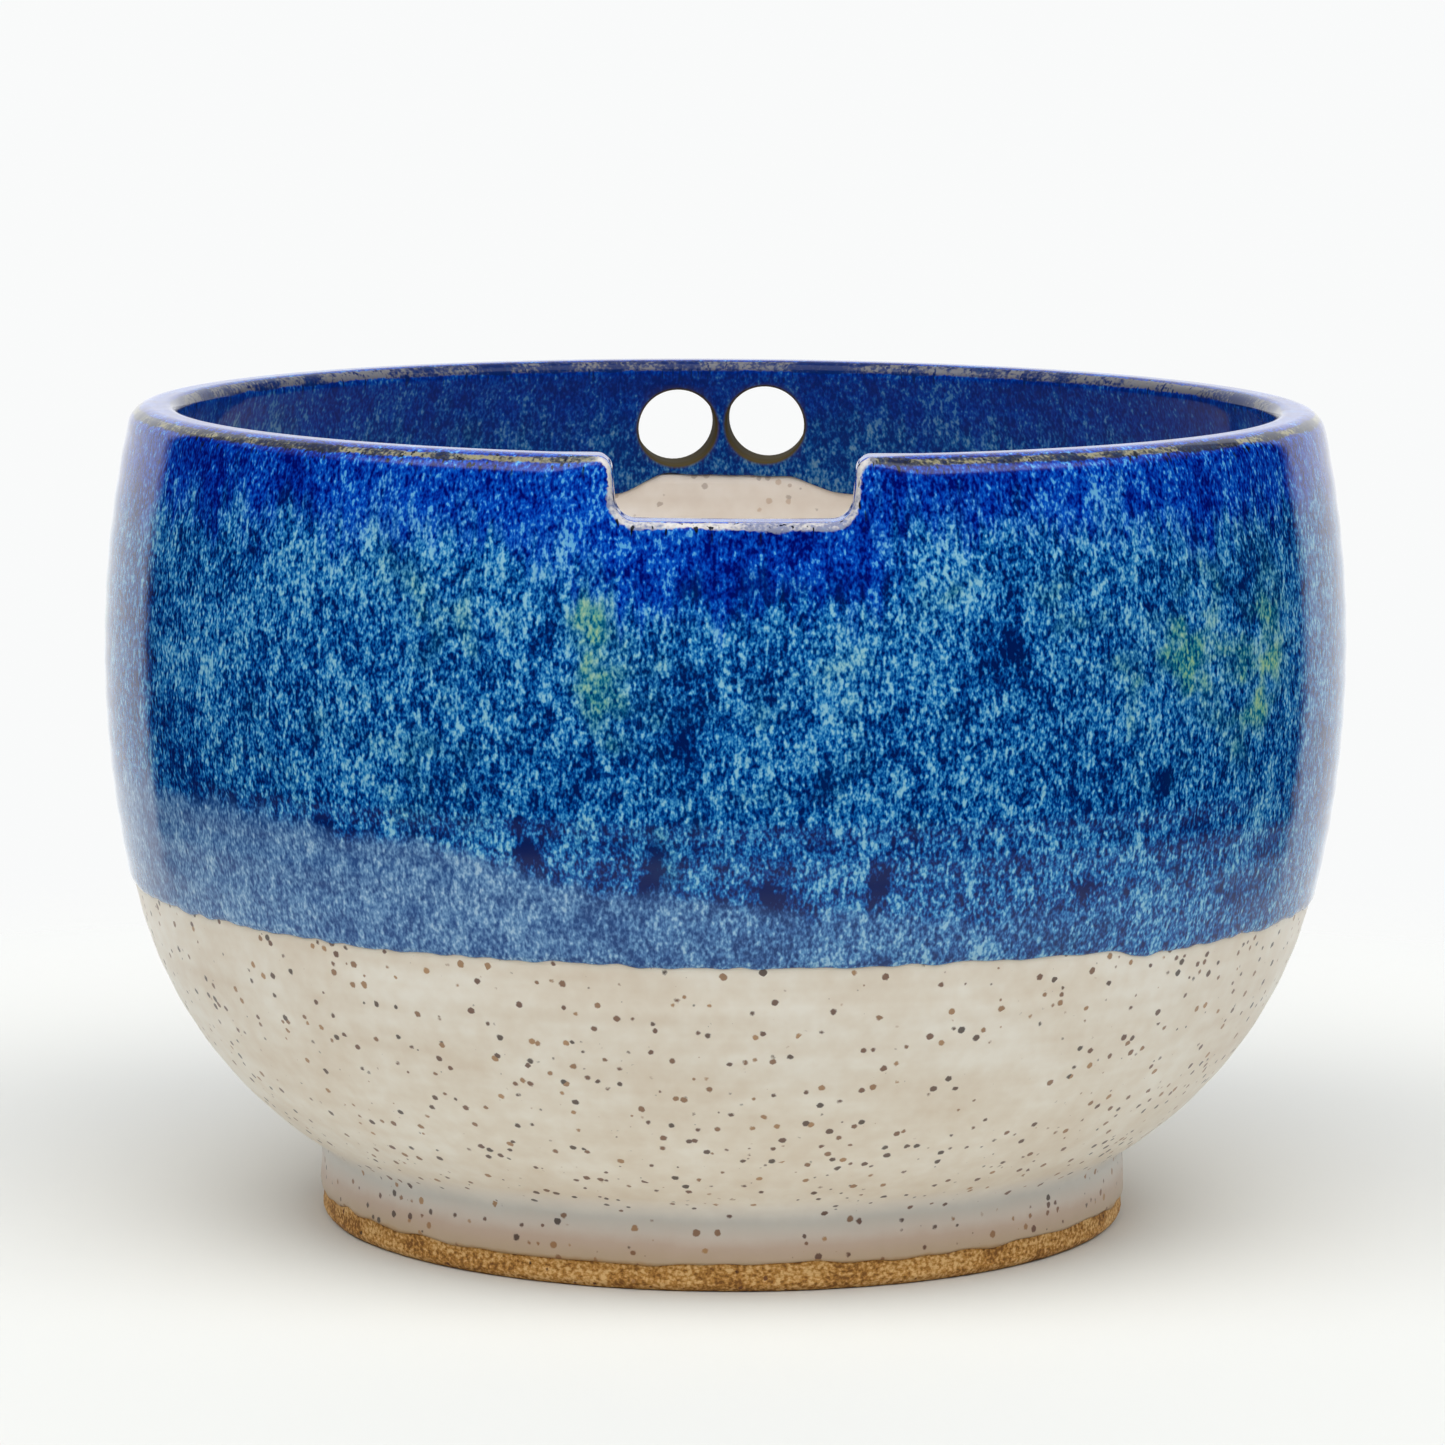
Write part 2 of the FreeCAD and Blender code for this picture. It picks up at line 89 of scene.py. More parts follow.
@dataclass(frozen=True)
class WallSection:
    """The thrown wall: two tangent arcs outside and two inside, and a coat parallel to them."""

    belly_radius: float = 74.2
    belly_height: float = 69.0
    side_arc_radius: float = 126.2
    rim_height: float = 97.8
    wall_thickness: float = 4.2
    turn_height: float = 40.0
    inner_turn_height: float = 46.0
    junction_radius: float = 48.5
    foot_height: float = 9.4
    floor_height: float = 15.9
    foot_splay: float = 0.4
    corner_fill: float = 1.1
    out_of_round: float = 0.09
    throwing_ripple: float = 0.035
    ripple_pitch: float = 4.6

    @property
    def side_centre(self) -> float:
        """The radius at which the side arcs' centre lies, which is beyond the pot's axis."""
        return self.belly_radius - self.side_arc_radius

    @property
    def under_arc(self) -> tuple[float, float, float]:
        """The under arc's centre radius, centre height and radius.

        It is tangent to the side arc at the turn and passes through the junction with the foot, so
        its radius is the chord's square over twice the chord's share along the turn's spoke.

        Returns:
            Those three, in millimetres.
        """
        turn = math.asin((self.belly_height - self.turn_height) / self.side_arc_radius)
        at_turn = self.side_centre + self.side_arc_radius * math.cos(turn)
        across, up = at_turn - self.junction_radius, self.turn_height - self.foot_height
        along_spoke = across * math.cos(turn) - up * math.sin(turn)
        radius = (across**2 + up**2) / (2 * along_spoke)
        return at_turn - radius * math.cos(turn), self.turn_height + radius * math.sin(turn), radius

    @property
    def floor_arc(self) -> tuple[float, float, float]:
        """The inner floor arc's centre radius, centre height and radius, tangent to the level floor.

        Returns:
            Those three, in millimetres.
        """
        inner = self.side_arc_radius - self.wall_thickness
        turn = math.asin((self.belly_height - self.inner_turn_height) / inner)
        radius = (self.inner_turn_height - self.floor_height) / (1 - math.sin(turn))
        at_turn = self.side_centre + inner * math.cos(turn)
        return at_turn - radius * math.cos(turn), self.inner_turn_height + radius * math.sin(turn), radius

    def hand(self, bearing: Array, height: Array) -> Array:
        """How far the hand-thrown wall lies inside its true round, so it never leaves the frame.

        The sum of a slow swell of two and three waves a turn and a spiral ripple left by the fingers.

        Args:
            bearing: The points' bearings.
            height: The points' heights.

        Returns:
            The distance for every point.
        """
        swell = 1.0 + 0.6 * np.sin(2 * bearing + 0.7 + height / 60) + 0.4 * np.sin(3 * bearing + 2.1)
        ripple = 1.0 + np.sin(FULL_TURN * height / self.ripple_pitch + bearing + np.sin(height / 9))
        return self.out_of_round * swell / 2 + self.throwing_ripple * ripple

    def outside(self, bearing: Array, height: Array, coat: Array) -> Array:
        """The outside radius of a coat: the side arc above the turn, the under arc and foot below.

        Args:
            bearing: The points' bearings.
            height: The points' heights.
            coat: How far the coat's face is off the clay.

        Returns:
            The radius for every point.
        """
        turn = math.asin((self.belly_height - self.turn_height) / self.side_arc_radius)
        changeover = self.belly_height - (self.side_arc_radius + coat) * math.sin(turn)
        rise = height - self.belly_height
        side = self.side_centre + np.sqrt((self.side_arc_radius + coat) ** 2 - rise**2)
        centre_radius, centre_height, radius = self.under_arc
        drop = np.minimum((height - centre_height) ** 2, (radius + coat) ** 2)
        under = centre_radius + np.sqrt((radius + coat) ** 2 - drop)
        foot = self.junction_radius + self.foot_splay * (1 - height / self.foot_height) + coat
        # The corner above the foot is filled softly: a smooth maximum of the two lines.
        near = np.maximum(self.corner_fill - np.abs(under - foot), 0.0)
        pool = near**2 / (4 * self.corner_fill) * (coat > 0)
        lower = np.maximum(under, foot) + pool
        return np.where(height >= changeover, side, lower) - self.hand(bearing, height)

    def inside(self, bearing: Array, height: Array, coat: Array) -> Array:
        """The inside radius of a coat: the inner side arc above its turn, the floor arc below.

        Args:
            bearing: The points' bearings.
            height: The points' heights.
            coat: How far the coat's face is off the clay.

        Returns:
            The radius for every point.
        """
        inner = self.side_arc_radius - self.wall_thickness
        turn = math.asin((self.belly_height - self.inner_turn_height) / inner)
        changeover = self.belly_height - (inner - coat) * math.sin(turn)
        side = self.side_centre + np.sqrt((inner - coat) ** 2 - (height - self.belly_height) ** 2)
        centre_radius, centre_height, radius = self.floor_arc
        drop = np.minimum((height - centre_height) ** 2, (radius - coat) ** 2)
        lower = centre_radius + np.sqrt((radius - coat) ** 2 - drop)
        return np.where(height >= changeover, side, lower) - self.hand(bearing, height)


def mirrored(values: Array, sign: float = 1.0) -> Array:
    """Puts a half line's mirror image before it, with its sign kept or changed."""
    return np.concatenate([sign * values[:0:-1], values])


def there_and_back(rows: Array) -> Array:
    """Puts a grid's rows, its last row over and over, and its rows in reverse one after another."""
    return np.concatenate([rows, np.repeat(rows[-1:], len(rows) - 2, 0), rows[::-1]])


def bearing_of(points: Array) -> Array:
    """The bearing of each point round the pot, from 0 to a whole turn."""
    return np.mod(np.arctan2(points[..., 0], -points[..., 1]), FULL_TURN)


def half_turns(angle: Array) -> Array:
    """The same angles, from minus half a turn to half a turn."""
    return np.mod(angle + math.pi, FULL_TURN) - math.pi


def no_coat(above: Array, height: Array) -> Array:
    """The thickness of a coat where there is none: 0 at every height."""
    return np.zeros_like(height)


@dataclass(frozen=True)
class Notch:
    """The yarn notch: a level floor, round corners, leaning sides and brows, all in the rim."""

    width: float = 28.6
    depth: float = 7.0
    offset: float = 0.8
    lean: float = math.radians(5.0)
    corner_radius: float = 3.2
    brow_radius: float = 0.9
    edge_radius: float = 0.5
    rim_edge_radius: float = 1.3
    reach: float = 24.0
    shade_depth: float = 30.0
    floor_points: int = 26
    side_points: int = 9
    rim_points: int = 13

    def line(self, rim_height: float, coat: float) -> dict[str, Array]:
        """Traces the rim's line through the notch, as seen from the front.

        Each half is a level run, an arc of the corner, the leaning side, an arc of the brow and a
        level run of the rim. The other half is its mirror image.

        Args:
            rim_height: The height of the clay's rim.
            coat: The coat over it. It raises the line and narrows the notch.

        Returns:
            Arrays named across, level, free_across, free_level (the direction away from the clay)
            and edge (the radius of the lip's edge there).
        """
        floor, top = rim_height - self.depth + coat, rim_height + coat
        slope, cosine, sine = math.tan(self.lean), math.cos(self.lean), math.sin(self.lean)
        corner, brow = self.corner_radius - coat, self.brow_radius + coat
        foot = self.width / 2 - self.depth * slope + coat * slope - coat / cosine
        run = (1 - sine) / cosine
        level_end, brow_end = foot - corner * run, foot + self.depth * slope + brow * run
        turn = np.linspace(-math.pi / 2, -self.lean, 12)
        brow_turn = np.linspace(math.pi - self.lean, math.pi / 2, 10)
        low = np.array([level_end + corner * cosine, floor + corner - corner * sine])
        high = np.array([brow_end - brow * cosine, top - brow + brow * sine])
        side = low + np.linspace(0, 1, self.side_points + 2)[1:-1, None] * (high - low)
        level = np.linspace(0, level_end, self.floor_points)[:-1]
        rim = np.linspace(brow_end, self.reach, self.rim_points)[1:]
        right, up = np.cos(turn), np.sin(turn)
        brow_right, brow_up = np.cos(brow_turn), np.sin(brow_turn)
        parts = [
            (level, floor, 0.0, 1.0),
            (level_end + corner * right, floor + corner + corner * up, -right, -up),
            (side[:, 0], side[:, 1], -cosine, sine),
            (brow_end + brow * brow_right, top - brow + brow * brow_up, brow_right, brow_up),
            (rim, top, 0.0, 1.0),
        ]
        columns = [np.stack(np.broadcast_arrays(*part)) for part in parts]
        across, height, free_across, free_level = np.concatenate(columns, axis=1)
        wide, narrow = self.rim_edge_radius + coat, self.edge_radius + coat * 0.6
        edge = narrow + (wide - narrow) * smooth_step(across, brow_end - 0.3, brow_end + 6.0)
        return {
            "across": mirrored(across, -1) + self.offset,
            "level": mirrored(height),
            "free_across": mirrored(free_across, -1),
            "free_level": mirrored(free_level),
            "edge": mirrored(edge),
        }


@dataclass(frozen=True)
class NeedleHole:
    """One round hole through the back of the wall, on a tilted axis that crosses the pot's axis."""

    turn: float
    depth: float
    radius: float = 5.1
    tilt: float = math.radians(5.0)
    edge_radius: float = 0.45
    wiped_edge: float = 0.6

    def axis(self, wall: WallSection) -> tuple[Array, Array, Array, Array]:
        """Places the hole's axis.

        Args:
            wall: The wall that it goes through.

        Returns:
            Where it crosses the pot's axis, its outward direction, and the two directions across it.
        """
        height = wall.rim_height - self.depth
        middle_arc = wall.side_arc_radius - wall.wall_thickness / 2
        middle = wall.side_centre + math.sqrt(middle_arc**2 - (height - wall.belly_height) ** 2)
        start = np.array([0.0, 0.0, height - middle * math.tan(self.tilt)])
        sine, cosine = math.sin(self.turn), math.cos(self.turn)
        out = np.array([sine, cosine, math.tan(self.tilt)]) * math.cos(self.tilt)
        level = np.array([cosine, -sine, 0.0])
        return start, out, level, np.cross(level, out)


class Shell:
    """Gathers surfaces that share points into one closed mesh."""

    def __init__(self) -> None:
        """Starts with no points and no faces."""
        self.points: list[Array] = []
        self.marks: list[dict[str, Array]] = []
        self.quads: list[Array] = []
        self.triangles: list[Array] = []
        self.count = 0

    def add_points(self, points: Array, **marks: Array | float) -> Array:
        """Adds points and gives their numbers.

        Args:
            points: Any grid of points, with x, y and z last, in millimetres.
            marks: Named values, one a point, that the glazes read.

        Returns:
            The points' numbers, in the grid's own shape.
        """
        shape = points.shape[:-1]
        self.points.append(points.reshape(-1, 3))
        self.marks.append({name: np.broadcast_to(value, shape).ravel() for name, value in marks.items()})
        numbers = np.arange(self.count, self.count + self.points[-1].shape[0]).reshape(shape)
        self.count += numbers.size
        return numbers

    def add_quads(self, grid: Array, turned: bool = False, keep: Array | None = None) -> None:
        """Joins a grid of numbered points, closed round the pot, with four-sided faces.

        Args:
            grid: Points' numbers, rows by columns. Columns run to the right seen from outside.
            turned: Whether the faces look the other way.
            keep: Which faces to make, or all of them.
        """
        right = np.roll(grid, -1, axis=1)
        faces = np.stack([grid[:-1], right[:-1], right[1:], grid[1:]], axis=-1)
        faces = faces.reshape(-1, 4) if keep is None else faces[keep]
        self.quads.append(faces[:, ::-1] if turned else faces)

    def add_cap(self, ring: Array, pole: tuple[float, float, float], turned: bool = False) -> None:
        """Closes a ring of points with triangles that meet at one point.

        Args:
            ring: The ring's numbers, running to the right seen from outside with the pole above.
            pole: The point in the middle.
            turned: Whether the faces look the other way.
        """
        centre = self.add_points(np.array([pole]))[0]
        faces = np.stack([ring, np.roll(ring, -1), np.full_like(ring, centre)], axis=-1)
        self.triangles.append(faces[:, ::-1] if turned else faces)

    def build(self, name: str, extra: dict[str, Any] | None = None) -> bpy.types.Object:
        """Makes the mesh and its object, smooth-shaded, and links it to the scene.

        Args:
            name: The piece's name.
            extra: More named values, as functions of the points in millimetres.

        Returns:
            The object, at the origin, with its place in its mesh.
        """
        points = np.concatenate(self.points)
        sizes = [len(part) for part in self.points]
        names = sorted({key for marks in self.marks for key in marks})
        parts = {key: [m.get(key, np.zeros(n)) for m, n in zip(self.marks, sizes)] for key in names}
        values = {key: np.concatenate(part) for key, part in parts.items()}
        values |= {key: formula(points) for key, formula in (extra or {}).items()}
        corners = [np.concatenate(part) for part in (self.quads, self.triangles) if part]
        used = np.unique(np.concatenate([part.ravel() for part in corners]))
        renumbered = np.zeros(self.count, int)
        renumbered[used] = np.arange(len(used))
        mesh = bpy.data.meshes.new(name)
        faces = [face for part in corners for face in renumbered[part].tolist()]
        mesh.from_pydata((points[used] * MM).tolist(), [], faces)
        for key, value in values.items():
            layer = mesh.attributes.new(key, "FLOAT", "POINT")
            layer.data.foreach_set("value", value[used].astype(np.float32))
        mesh.shade_smooth()
        piece = bpy.data.objects.new(name, mesh)
        bpy.context.scene.collection.objects.link(piece)
        LOG.info("%s: %d points, %d faces", name, len(mesh.vertices), len(mesh.polygons))
        return piece


@dataclass(frozen=True)
class Skin:
    """One face of a coat, or of the clay: where it ends, how far off the clay it is, its rows."""

    low_outside: Callable[[Array], Array]
    low_inside: Callable[[Array], Array]
    coat_outside: Callable[[Array, Array], Array]
    coat_inside: Callable[[Array, Array], Array]
    coat: float
    near_outside: tuple[float, ...]
    near_inside: tuple[float, ...]
    below_holes: int
    beside_holes: int
    lip_rows: int
    hole_grows: float = 0.0
    turned: bool = False


@dataclass(frozen=True)
class Wall:
    """The whole wall as a grid of columns round the pot: outside, over the lip, and inside."""

    section: WallSection = WallSection()
    notch: Notch = Notch()
    holes: tuple[NeedleHole, ...] = (
        NeedleHole(math.radians(-5.5), 7.9),
        NeedleHole(math.radians(4.3), 7.4),
    )
    middle_radius: float = 70.0
    column_step: float = 0.85
    hole_columns: int = 16
    hole_edges: tuple[float, float, float] = (11.7, -0.75, -13.2)
    holes_low_outside: float = 84.2
    holes_low_inside: float = 83.95
    fan_low: float = 62.0
    fan_low_inside: float = 79.0
    patch_rings: int = 3
    edge_rings: int = 4
    lip_width: float = 4.0
    short_wall: float = 6.0

    def columns(self, coat: float) -> dict[str, Array]:
        """Lays out the columns: close ones through the notch, even ones elsewhere.

        A column's bearing at the rim follows the notch's line. Lower down the columns are evenly
        spread again, so the faces fan out under the notch.

        Args:
            coat: The coat's thickness.

        Returns:
            The notch line's arrays for every column; bearing at the rim and low_bearing lower down;
            flatness, how far a column keeps to one distance across instead of one bearing; and
            bounds, the columns that bound the two holes.
        """
        rim = self.notch.line(self.section.rim_height, coat)
        front = np.arcsin(rim["across"] / self.middle_radius)
        stops = [front[-1], *(math.pi - across / self.middle_radius for across in self.hole_edges)]
        stops.append(FULL_TURN + front[0])
        plain = [round((stops[i + 1] - stops[i]) * self.middle_radius / self.column_step) for i in (0, 3)]
        counts = [plain[0], self.hole_columns, self.hole_columns, plain[1]]
        runs = [np.linspace(a, b, n + 1)[1:] for a, b, n in zip(stops, stops[1:], counts)]
        rest = np.concatenate(runs)[:-1]
        filler = {"across": 0.0, "level": self.section.rim_height + coat, "free_across": 0.0,
                  "free_level": 1.0, "edge": rim["edge"][-1]}
        columns = {key: np.concatenate([rim[key], np.full_like(rest, filler[key])]) for key in rim}
        columns["bearing"] = np.concatenate([front, rest])
        columns["low_bearing"] = np.concatenate([np.linspace(front[0], front[-1], len(front)), rest])
        reach = np.abs(half_turns(columns["bearing"])) * self.middle_radius
        columns["flatness"] = 1 - smooth_step(reach, self.notch.reach - 6, self.notch.reach + 8)
        columns["bounds"] = len(front) - 1 + np.cumsum(counts[:3])
        columns["rim_line"] = np.stack([front * self.middle_radius, rim["level"], rim["edge"]], axis=-1)
        return columns

    def place(self, bearing: Array, height: Array, radius: Array, flatness: Array | float = 0.0) -> Array:
        """Turns bearing, height and radius into points.

        Near the notch a column keeps to one distance across through the whole wall, because the
        notch is cut straight through. Elsewhere it keeps to one bearing.

        Args:
            bearing: The points' bearings.
            height: The points' heights.
            radius: The points' distances from the pot's axis.
            flatness: 1 where a column keeps to one distance across, and 0 where to one bearing.

        Returns:
            The points.
        """
        across = ((1 - flatness) * radius + flatness * self.middle_radius) * np.sin(bearing)
        depth = np.sqrt(np.maximum(radius**2 - across**2, 0.0))
        return np.stack(np.broadcast_arrays(across, -np.sign(np.cos(bearing)) * depth, height), axis=-1)

    def from_rim(self, bearing: Array, height: Array, columns: dict[str, Array]) -> Array:
        """The way along the wall to the middle of the lip's edge: straight up, or to the notch's line.

        Args:
            bearing: The points' bearings.
            height: The points' heights.
            columns: The wall's columns.

        Returns:
            The distance for every point.
        """
        edge = columns["edge"].max()
        away = columns["level"].max() - height - edge * (1 - math.pi / 4)
        across = half_turns(bearing) * self.middle_radius
        near = (np.abs(across) < self.notch.reach - 1) & (away < self.notch.shade_depth)
        line = columns["rim_line"]
        along, up = (here[near][:, None] - line[None, :, i] for i, here in enumerate((across, height)))
        gaps = np.hypot(along, up)
        away[near] = gaps.min(1) - line[gaps.argmin(1), 2] * (1 - math.pi / 4)
        return away

    def lip(self, columns: dict[str, Array], coat: float, rows: int) -> tuple[Array, dict[str, Array]]:
        """Carries the lip's section along the rim's line.

        The section is a quarter round, a flat and a quarter round. A point is the rim's line moved
        into the clay by how far the section has dropped, at the wall's radius there less its inset.

        Args:
            columns: The wall's columns.
            coat: The coat's thickness.
            rows: The rows in each quarter round.

        Returns:
            The points, rows by columns, and the marks outer_mm and inner_mm, the ways along the
            section from the middle of the outer and of the inner round.
        """
        turn = np.linspace(0, math.pi / 2, rows + 1)[:, None]
        edge = columns["edge"][None]
        drop, inset = edge * (1 - np.sin(turn)), edge * (1 - np.cos(turn))
        level = columns["level"] - drop * columns["free_level"]
        bearing = columns["bearing"] - drop * columns["free_across"] / self.middle_radius
        outer = self.section.outside(bearing, level, coat) - inset
        inner = self.section.inside(bearing, level, coat) + inset
        share = np.linspace(0, 1, rows + 1)[1:-1, None]
        width = outer[-1:] - inner[-1:]
        radius = np.concatenate([outer, outer[-1:] - share * width, inner[::-1]])
        points = self.place(there_and_back(bearing), there_and_back(level), radius, columns["flatness"])
        half = edge * math.pi / 4
        first, last = np.abs(edge * turn - half), half + width + edge * (math.pi / 2 - turn[::-1])
        outer_mm = np.concatenate([first, half + share * width, last])
        return points, {"outer_mm": outer_mm, "inner_mm": outer_mm[::-1]}

    def add_skin(self, shell: Shell, skin: Skin, ends: tuple[Array, Array] | None = None) -> Array:
        """Adds one face of the wall to a shell, from its lower edge outside to its edge inside.

        Args:
            shell: The mesh that it goes into.
            skin: The face.
            ends: The points' numbers of the first and last row, where another face has made them.

        Returns:
            The points' numbers, rows by columns.
        """
        columns = self.columns(skin.coat)
        lip_points, lip_marks = self.lip(columns, skin.coat, skin.lip_rows)
        top = columns["level"] - columns["edge"] * columns["free_level"]
        top_bearing = columns["bearing"] - columns["edge"] * columns["free_across"] / self.middle_radius
        sides = []
        for inside in (False, True):
            low = (skin.low_inside if inside else skin.low_outside)(columns["low_bearing"])
            near = np.array(skin.near_inside if inside else skin.near_outside)[:, None]
            holes_low = self.holes_low_inside if inside else self.holes_low_outside
            rows = 1 if holes_low - low.mean() < self.short_wall else skin.below_holes
            starts = low + near
            rise = np.linspace(0, 1, rows + 1)[1:, None]
            beside = np.linspace(0, 1, skin.beside_holes + 1)[1:, None]
            below = starts[-1:] + rise * (holes_low - starts[-1:])
            height = np.concatenate([starts, below, holes_low + beside * (top - holes_low)])
            plain_height = height[:, columns["bounds"][0], None]
            fan = smooth_step(plain_height, self.fan_low_inside if inside else self.fan_low, top.max())
            bearing = columns["low_bearing"] + (top_bearing - columns["low_bearing"]) * fan
            coat = (skin.coat_inside if inside else skin.coat_outside)(height - low, height)
            radius = (self.section.inside if inside else self.section.outside)(bearing, height, coat)
            points = self.place(bearing, height, radius, columns["flatness"])
            away = self.from_rim(bearing, height, columns)
            across = away + self.lip_width
            marks = {"outer_mm": away, "inner_mm": across, "inner": np.zeros_like(away)}
            if inside:
                marks = {"outer_mm": across, "inner_mm": away, "inner": np.ones_like(away)}
            marks = {key: value[:-1] for key, value in marks.items()}
            sides.append((points[:-1], marks, len(near) + rows - 1))
        (outer, outer_marks, outer_low), (inner, inner_marks, inner_low) = sides
        over = np.linspace(0, 1, len(lip_points))[:, None]
        lip_marks["inner"] = np.repeat(over, lip_points.shape[1], 1)
        inner, inner_marks = inner[::-1], {key: value[::-1] for key, value in inner_marks.items()}
        if ends is not None:
            outer, outer_marks = outer[1:], {key: value[1:] for key, value in outer_marks.items()}
            inner, inner_marks = inner[:-1], {key: value[:-1] for key, value in inner_marks.items()}
        numbers = [shell.add_points(outer, **outer_marks), shell.add_points(lip_points, **lip_marks),
                   shell.add_points(inner, **inner_marks)]
        if ends is not None:
            numbers = [ends[0][None], *numbers, ends[1][None]]
        grid = np.concatenate(numbers)
        lip_first = outer_low + skin.beside_holes
        lip_last = lip_first + len(lip_points) - 1
        inside_low = len(grid) - 1 - inner_low
        keep = np.ones((len(grid) - 1, grid.shape[1]), bool)
        first, middle, last = columns["bounds"]
        keep[outer_low:lip_first, first:last] = False
        keep[lip_last:inside_low, first:last] = False
        shell.add_quads(grid, skin.turned, keep)
        # Bearings grow from the right hole to the left one, seen from the front.
        for hole, start, end in ((self.holes[1], first, middle), (self.holes[0], middle, last)):
            blocks = ((outer_low, lip_first), (inside_low, lip_last))
            loops = [block_edge(grid, low, high, start, end) for low, high in blocks]
            self.add_hole(shell, hole, loops, skin)
        return grid

    def on_skin(self, hole: NeedleHole, away: Array, turn: Array, coat: float, inside: bool) -> Array:
        """Where lines beside a hole's axis meet the wall, found by stepping along them.

        Args:
            hole: The hole.
            away: The lines' distance from the axis.
            turn: Their angle round the axis.
            coat: The coat's thickness.
            inside: Whether the inner surface is meant.

        Returns:
            The points.
        """
        start, out, level, up = hole.axis(self.section)
        line = start + away[..., None] * (np.cos(turn)[..., None] * level + np.sin(turn)[..., None] * up)
        along = np.full(away.shape, self.middle_radius)
        surface = self.section.inside if inside else self.section.outside
        for _ in range(8):
            points = line + along[..., None] * out
            radius = surface(bearing_of(points), points[..., 2], coat)
            along = along - (np.hypot(points[..., 0], points[..., 1]) - radius)
        return line + along[..., None] * out

    def add_hole(self, shell: Shell, hole: NeedleHole, loops: list[Array], skin: Skin) -> None:
        """Joins the outer and the inner surface through a hole, with a rounded edge at each end.

        Rings lead from the block left out of the grid to the hole's edge, over a quarter round
        and through the wall. A ring is a distance from the hole's axis and a depth under the skin.

        Args:
            shell: The mesh that it goes into.
            hole: The hole.
            loops: The numbers of the points round the block left out, outside and inside.
            skin: The face that the hole goes through.
        """
        start, _, level, up = hole.axis(self.section)
        placed = np.concatenate(shell.points)
        radius, edge = hole.radius + skin.hole_grows, hole.edge_radius
        fronts, turns = [], []
        for inside, loop in enumerate(loops):
            apart = placed[loop] - start
            turn, reach = np.arctan2(apart @ up, apart @ level), np.hypot(apart @ up, apart @ level)
            if inside:
                turn = turns[0] + half_turns(turn - turns[0])
            turns.append(turn)
            share = np.linspace(0, 1, self.patch_rings + 1)[1:, None]
            bend = np.linspace(0, math.pi / 2, self.edge_rings + 1)[1:, None]
            away = np.concatenate(
                [reach + share * (radius + edge - reach), radius + edge * (1 - np.sin(bend)) + 0 * reach]
            )
            sunk = np.concatenate([np.zeros_like(share * reach), edge * (1 - np.cos(bend)) + 0 * reach])
            out = hole.axis(self.section)[1] * (1 if inside else -1)
            points = self.on_skin(hole, away, turn + 0 * away, skin.coat, bool(inside))
            fronts.append((points + sunk[..., None] * out, away - hole.radius - sunk))
        (outer, outer_mm), (inner, inner_mm) = fronts
        share = np.linspace(0, 1, 5)[1:-1, None, None]
        middle = outer[-1] + share * (inner[-1] - outer[-1])
        points = np.concatenate([outer, middle, inner[::-1]])
        deep = np.full(middle.shape[:-1], -hole.edge_radius)
        hole_mm = np.concatenate([outer_mm, deep, inner_mm[::-1]])
        side = np.linspace(0, 1, len(points))[:, None] + 0 * hole_mm
        far = self.section.rim_height - points[..., 2]
        marks = {
            "outer_mm": far + self.lip_width * side,
            "inner_mm": far + self.lip_width * (1 - side),
            "inner": np.round(side),
            "bore": 1 - smooth_step(hole_mm, 0.0, hole.wiped_edge),
        }
        rings = shell.add_points(points, **marks)
        shell.add_quads(np.concatenate([loops[0][None], rings, loops[1][None]]), skin.turned)


def block_edge(grid: Array, low: int, high: int, first: int, last: int) -> Array:
    """Follows the edge of a block of a grid: along its foot, up, back along its top, and down.

    Args:
        grid: Points' numbers, rows by columns.
        low: The foot's row.
        high: The top's row, which may be before or after it.
        first: The first column.
        last: The last column.

    Returns:
        The numbers round the block.
    """
    step = 1 if high > low else -1
    up, down = np.arange(low, high, step), np.arange(high, low, -step)
    foot, top = grid[low, first:last], grid[high, last:first:-1]
    return np.concatenate([foot, grid[up, last], top, grid[down, first]])


def rounded(above: Array, reach: float) -> Array:
    """The rounded edge of a coat: a quarter circle that rises from 0 to 1 over its reach."""
    t = np.clip(above / reach, 0.0, 1.0)
    return np.sqrt(1.0 - (1.0 - t) ** 2)


@dataclass(frozen=True)
class Pool:
    """A soft oval spot where the glaze gathered: its bearing in degrees, and lengths in millimetres."""

    bearing: float
    height: float
    width: float
    tall: float
    strength: float = 1.0


def spots(points: Array, pools: tuple[Pool, ...], radius: float) -> Array:
    """The sum of soft ovals: each the exponential of minus the squared distance in its own widths.

    Args:
        points: The points.
        pools: The spots.
        radius: The pot's radius, which turns bearings into millimetres.

    Returns:
        The sum at each point.
    """
    bearing, total = bearing_of(points), np.zeros(len(points))
    for pool in pools:
        across = half_turns(bearing - math.radians(pool.bearing))
        reach = (across * radius / pool.width) ** 2 + ((points[:, 2] - pool.height) / pool.tall) ** 2
        total += pool.strength * np.exp(-reach)
    return total


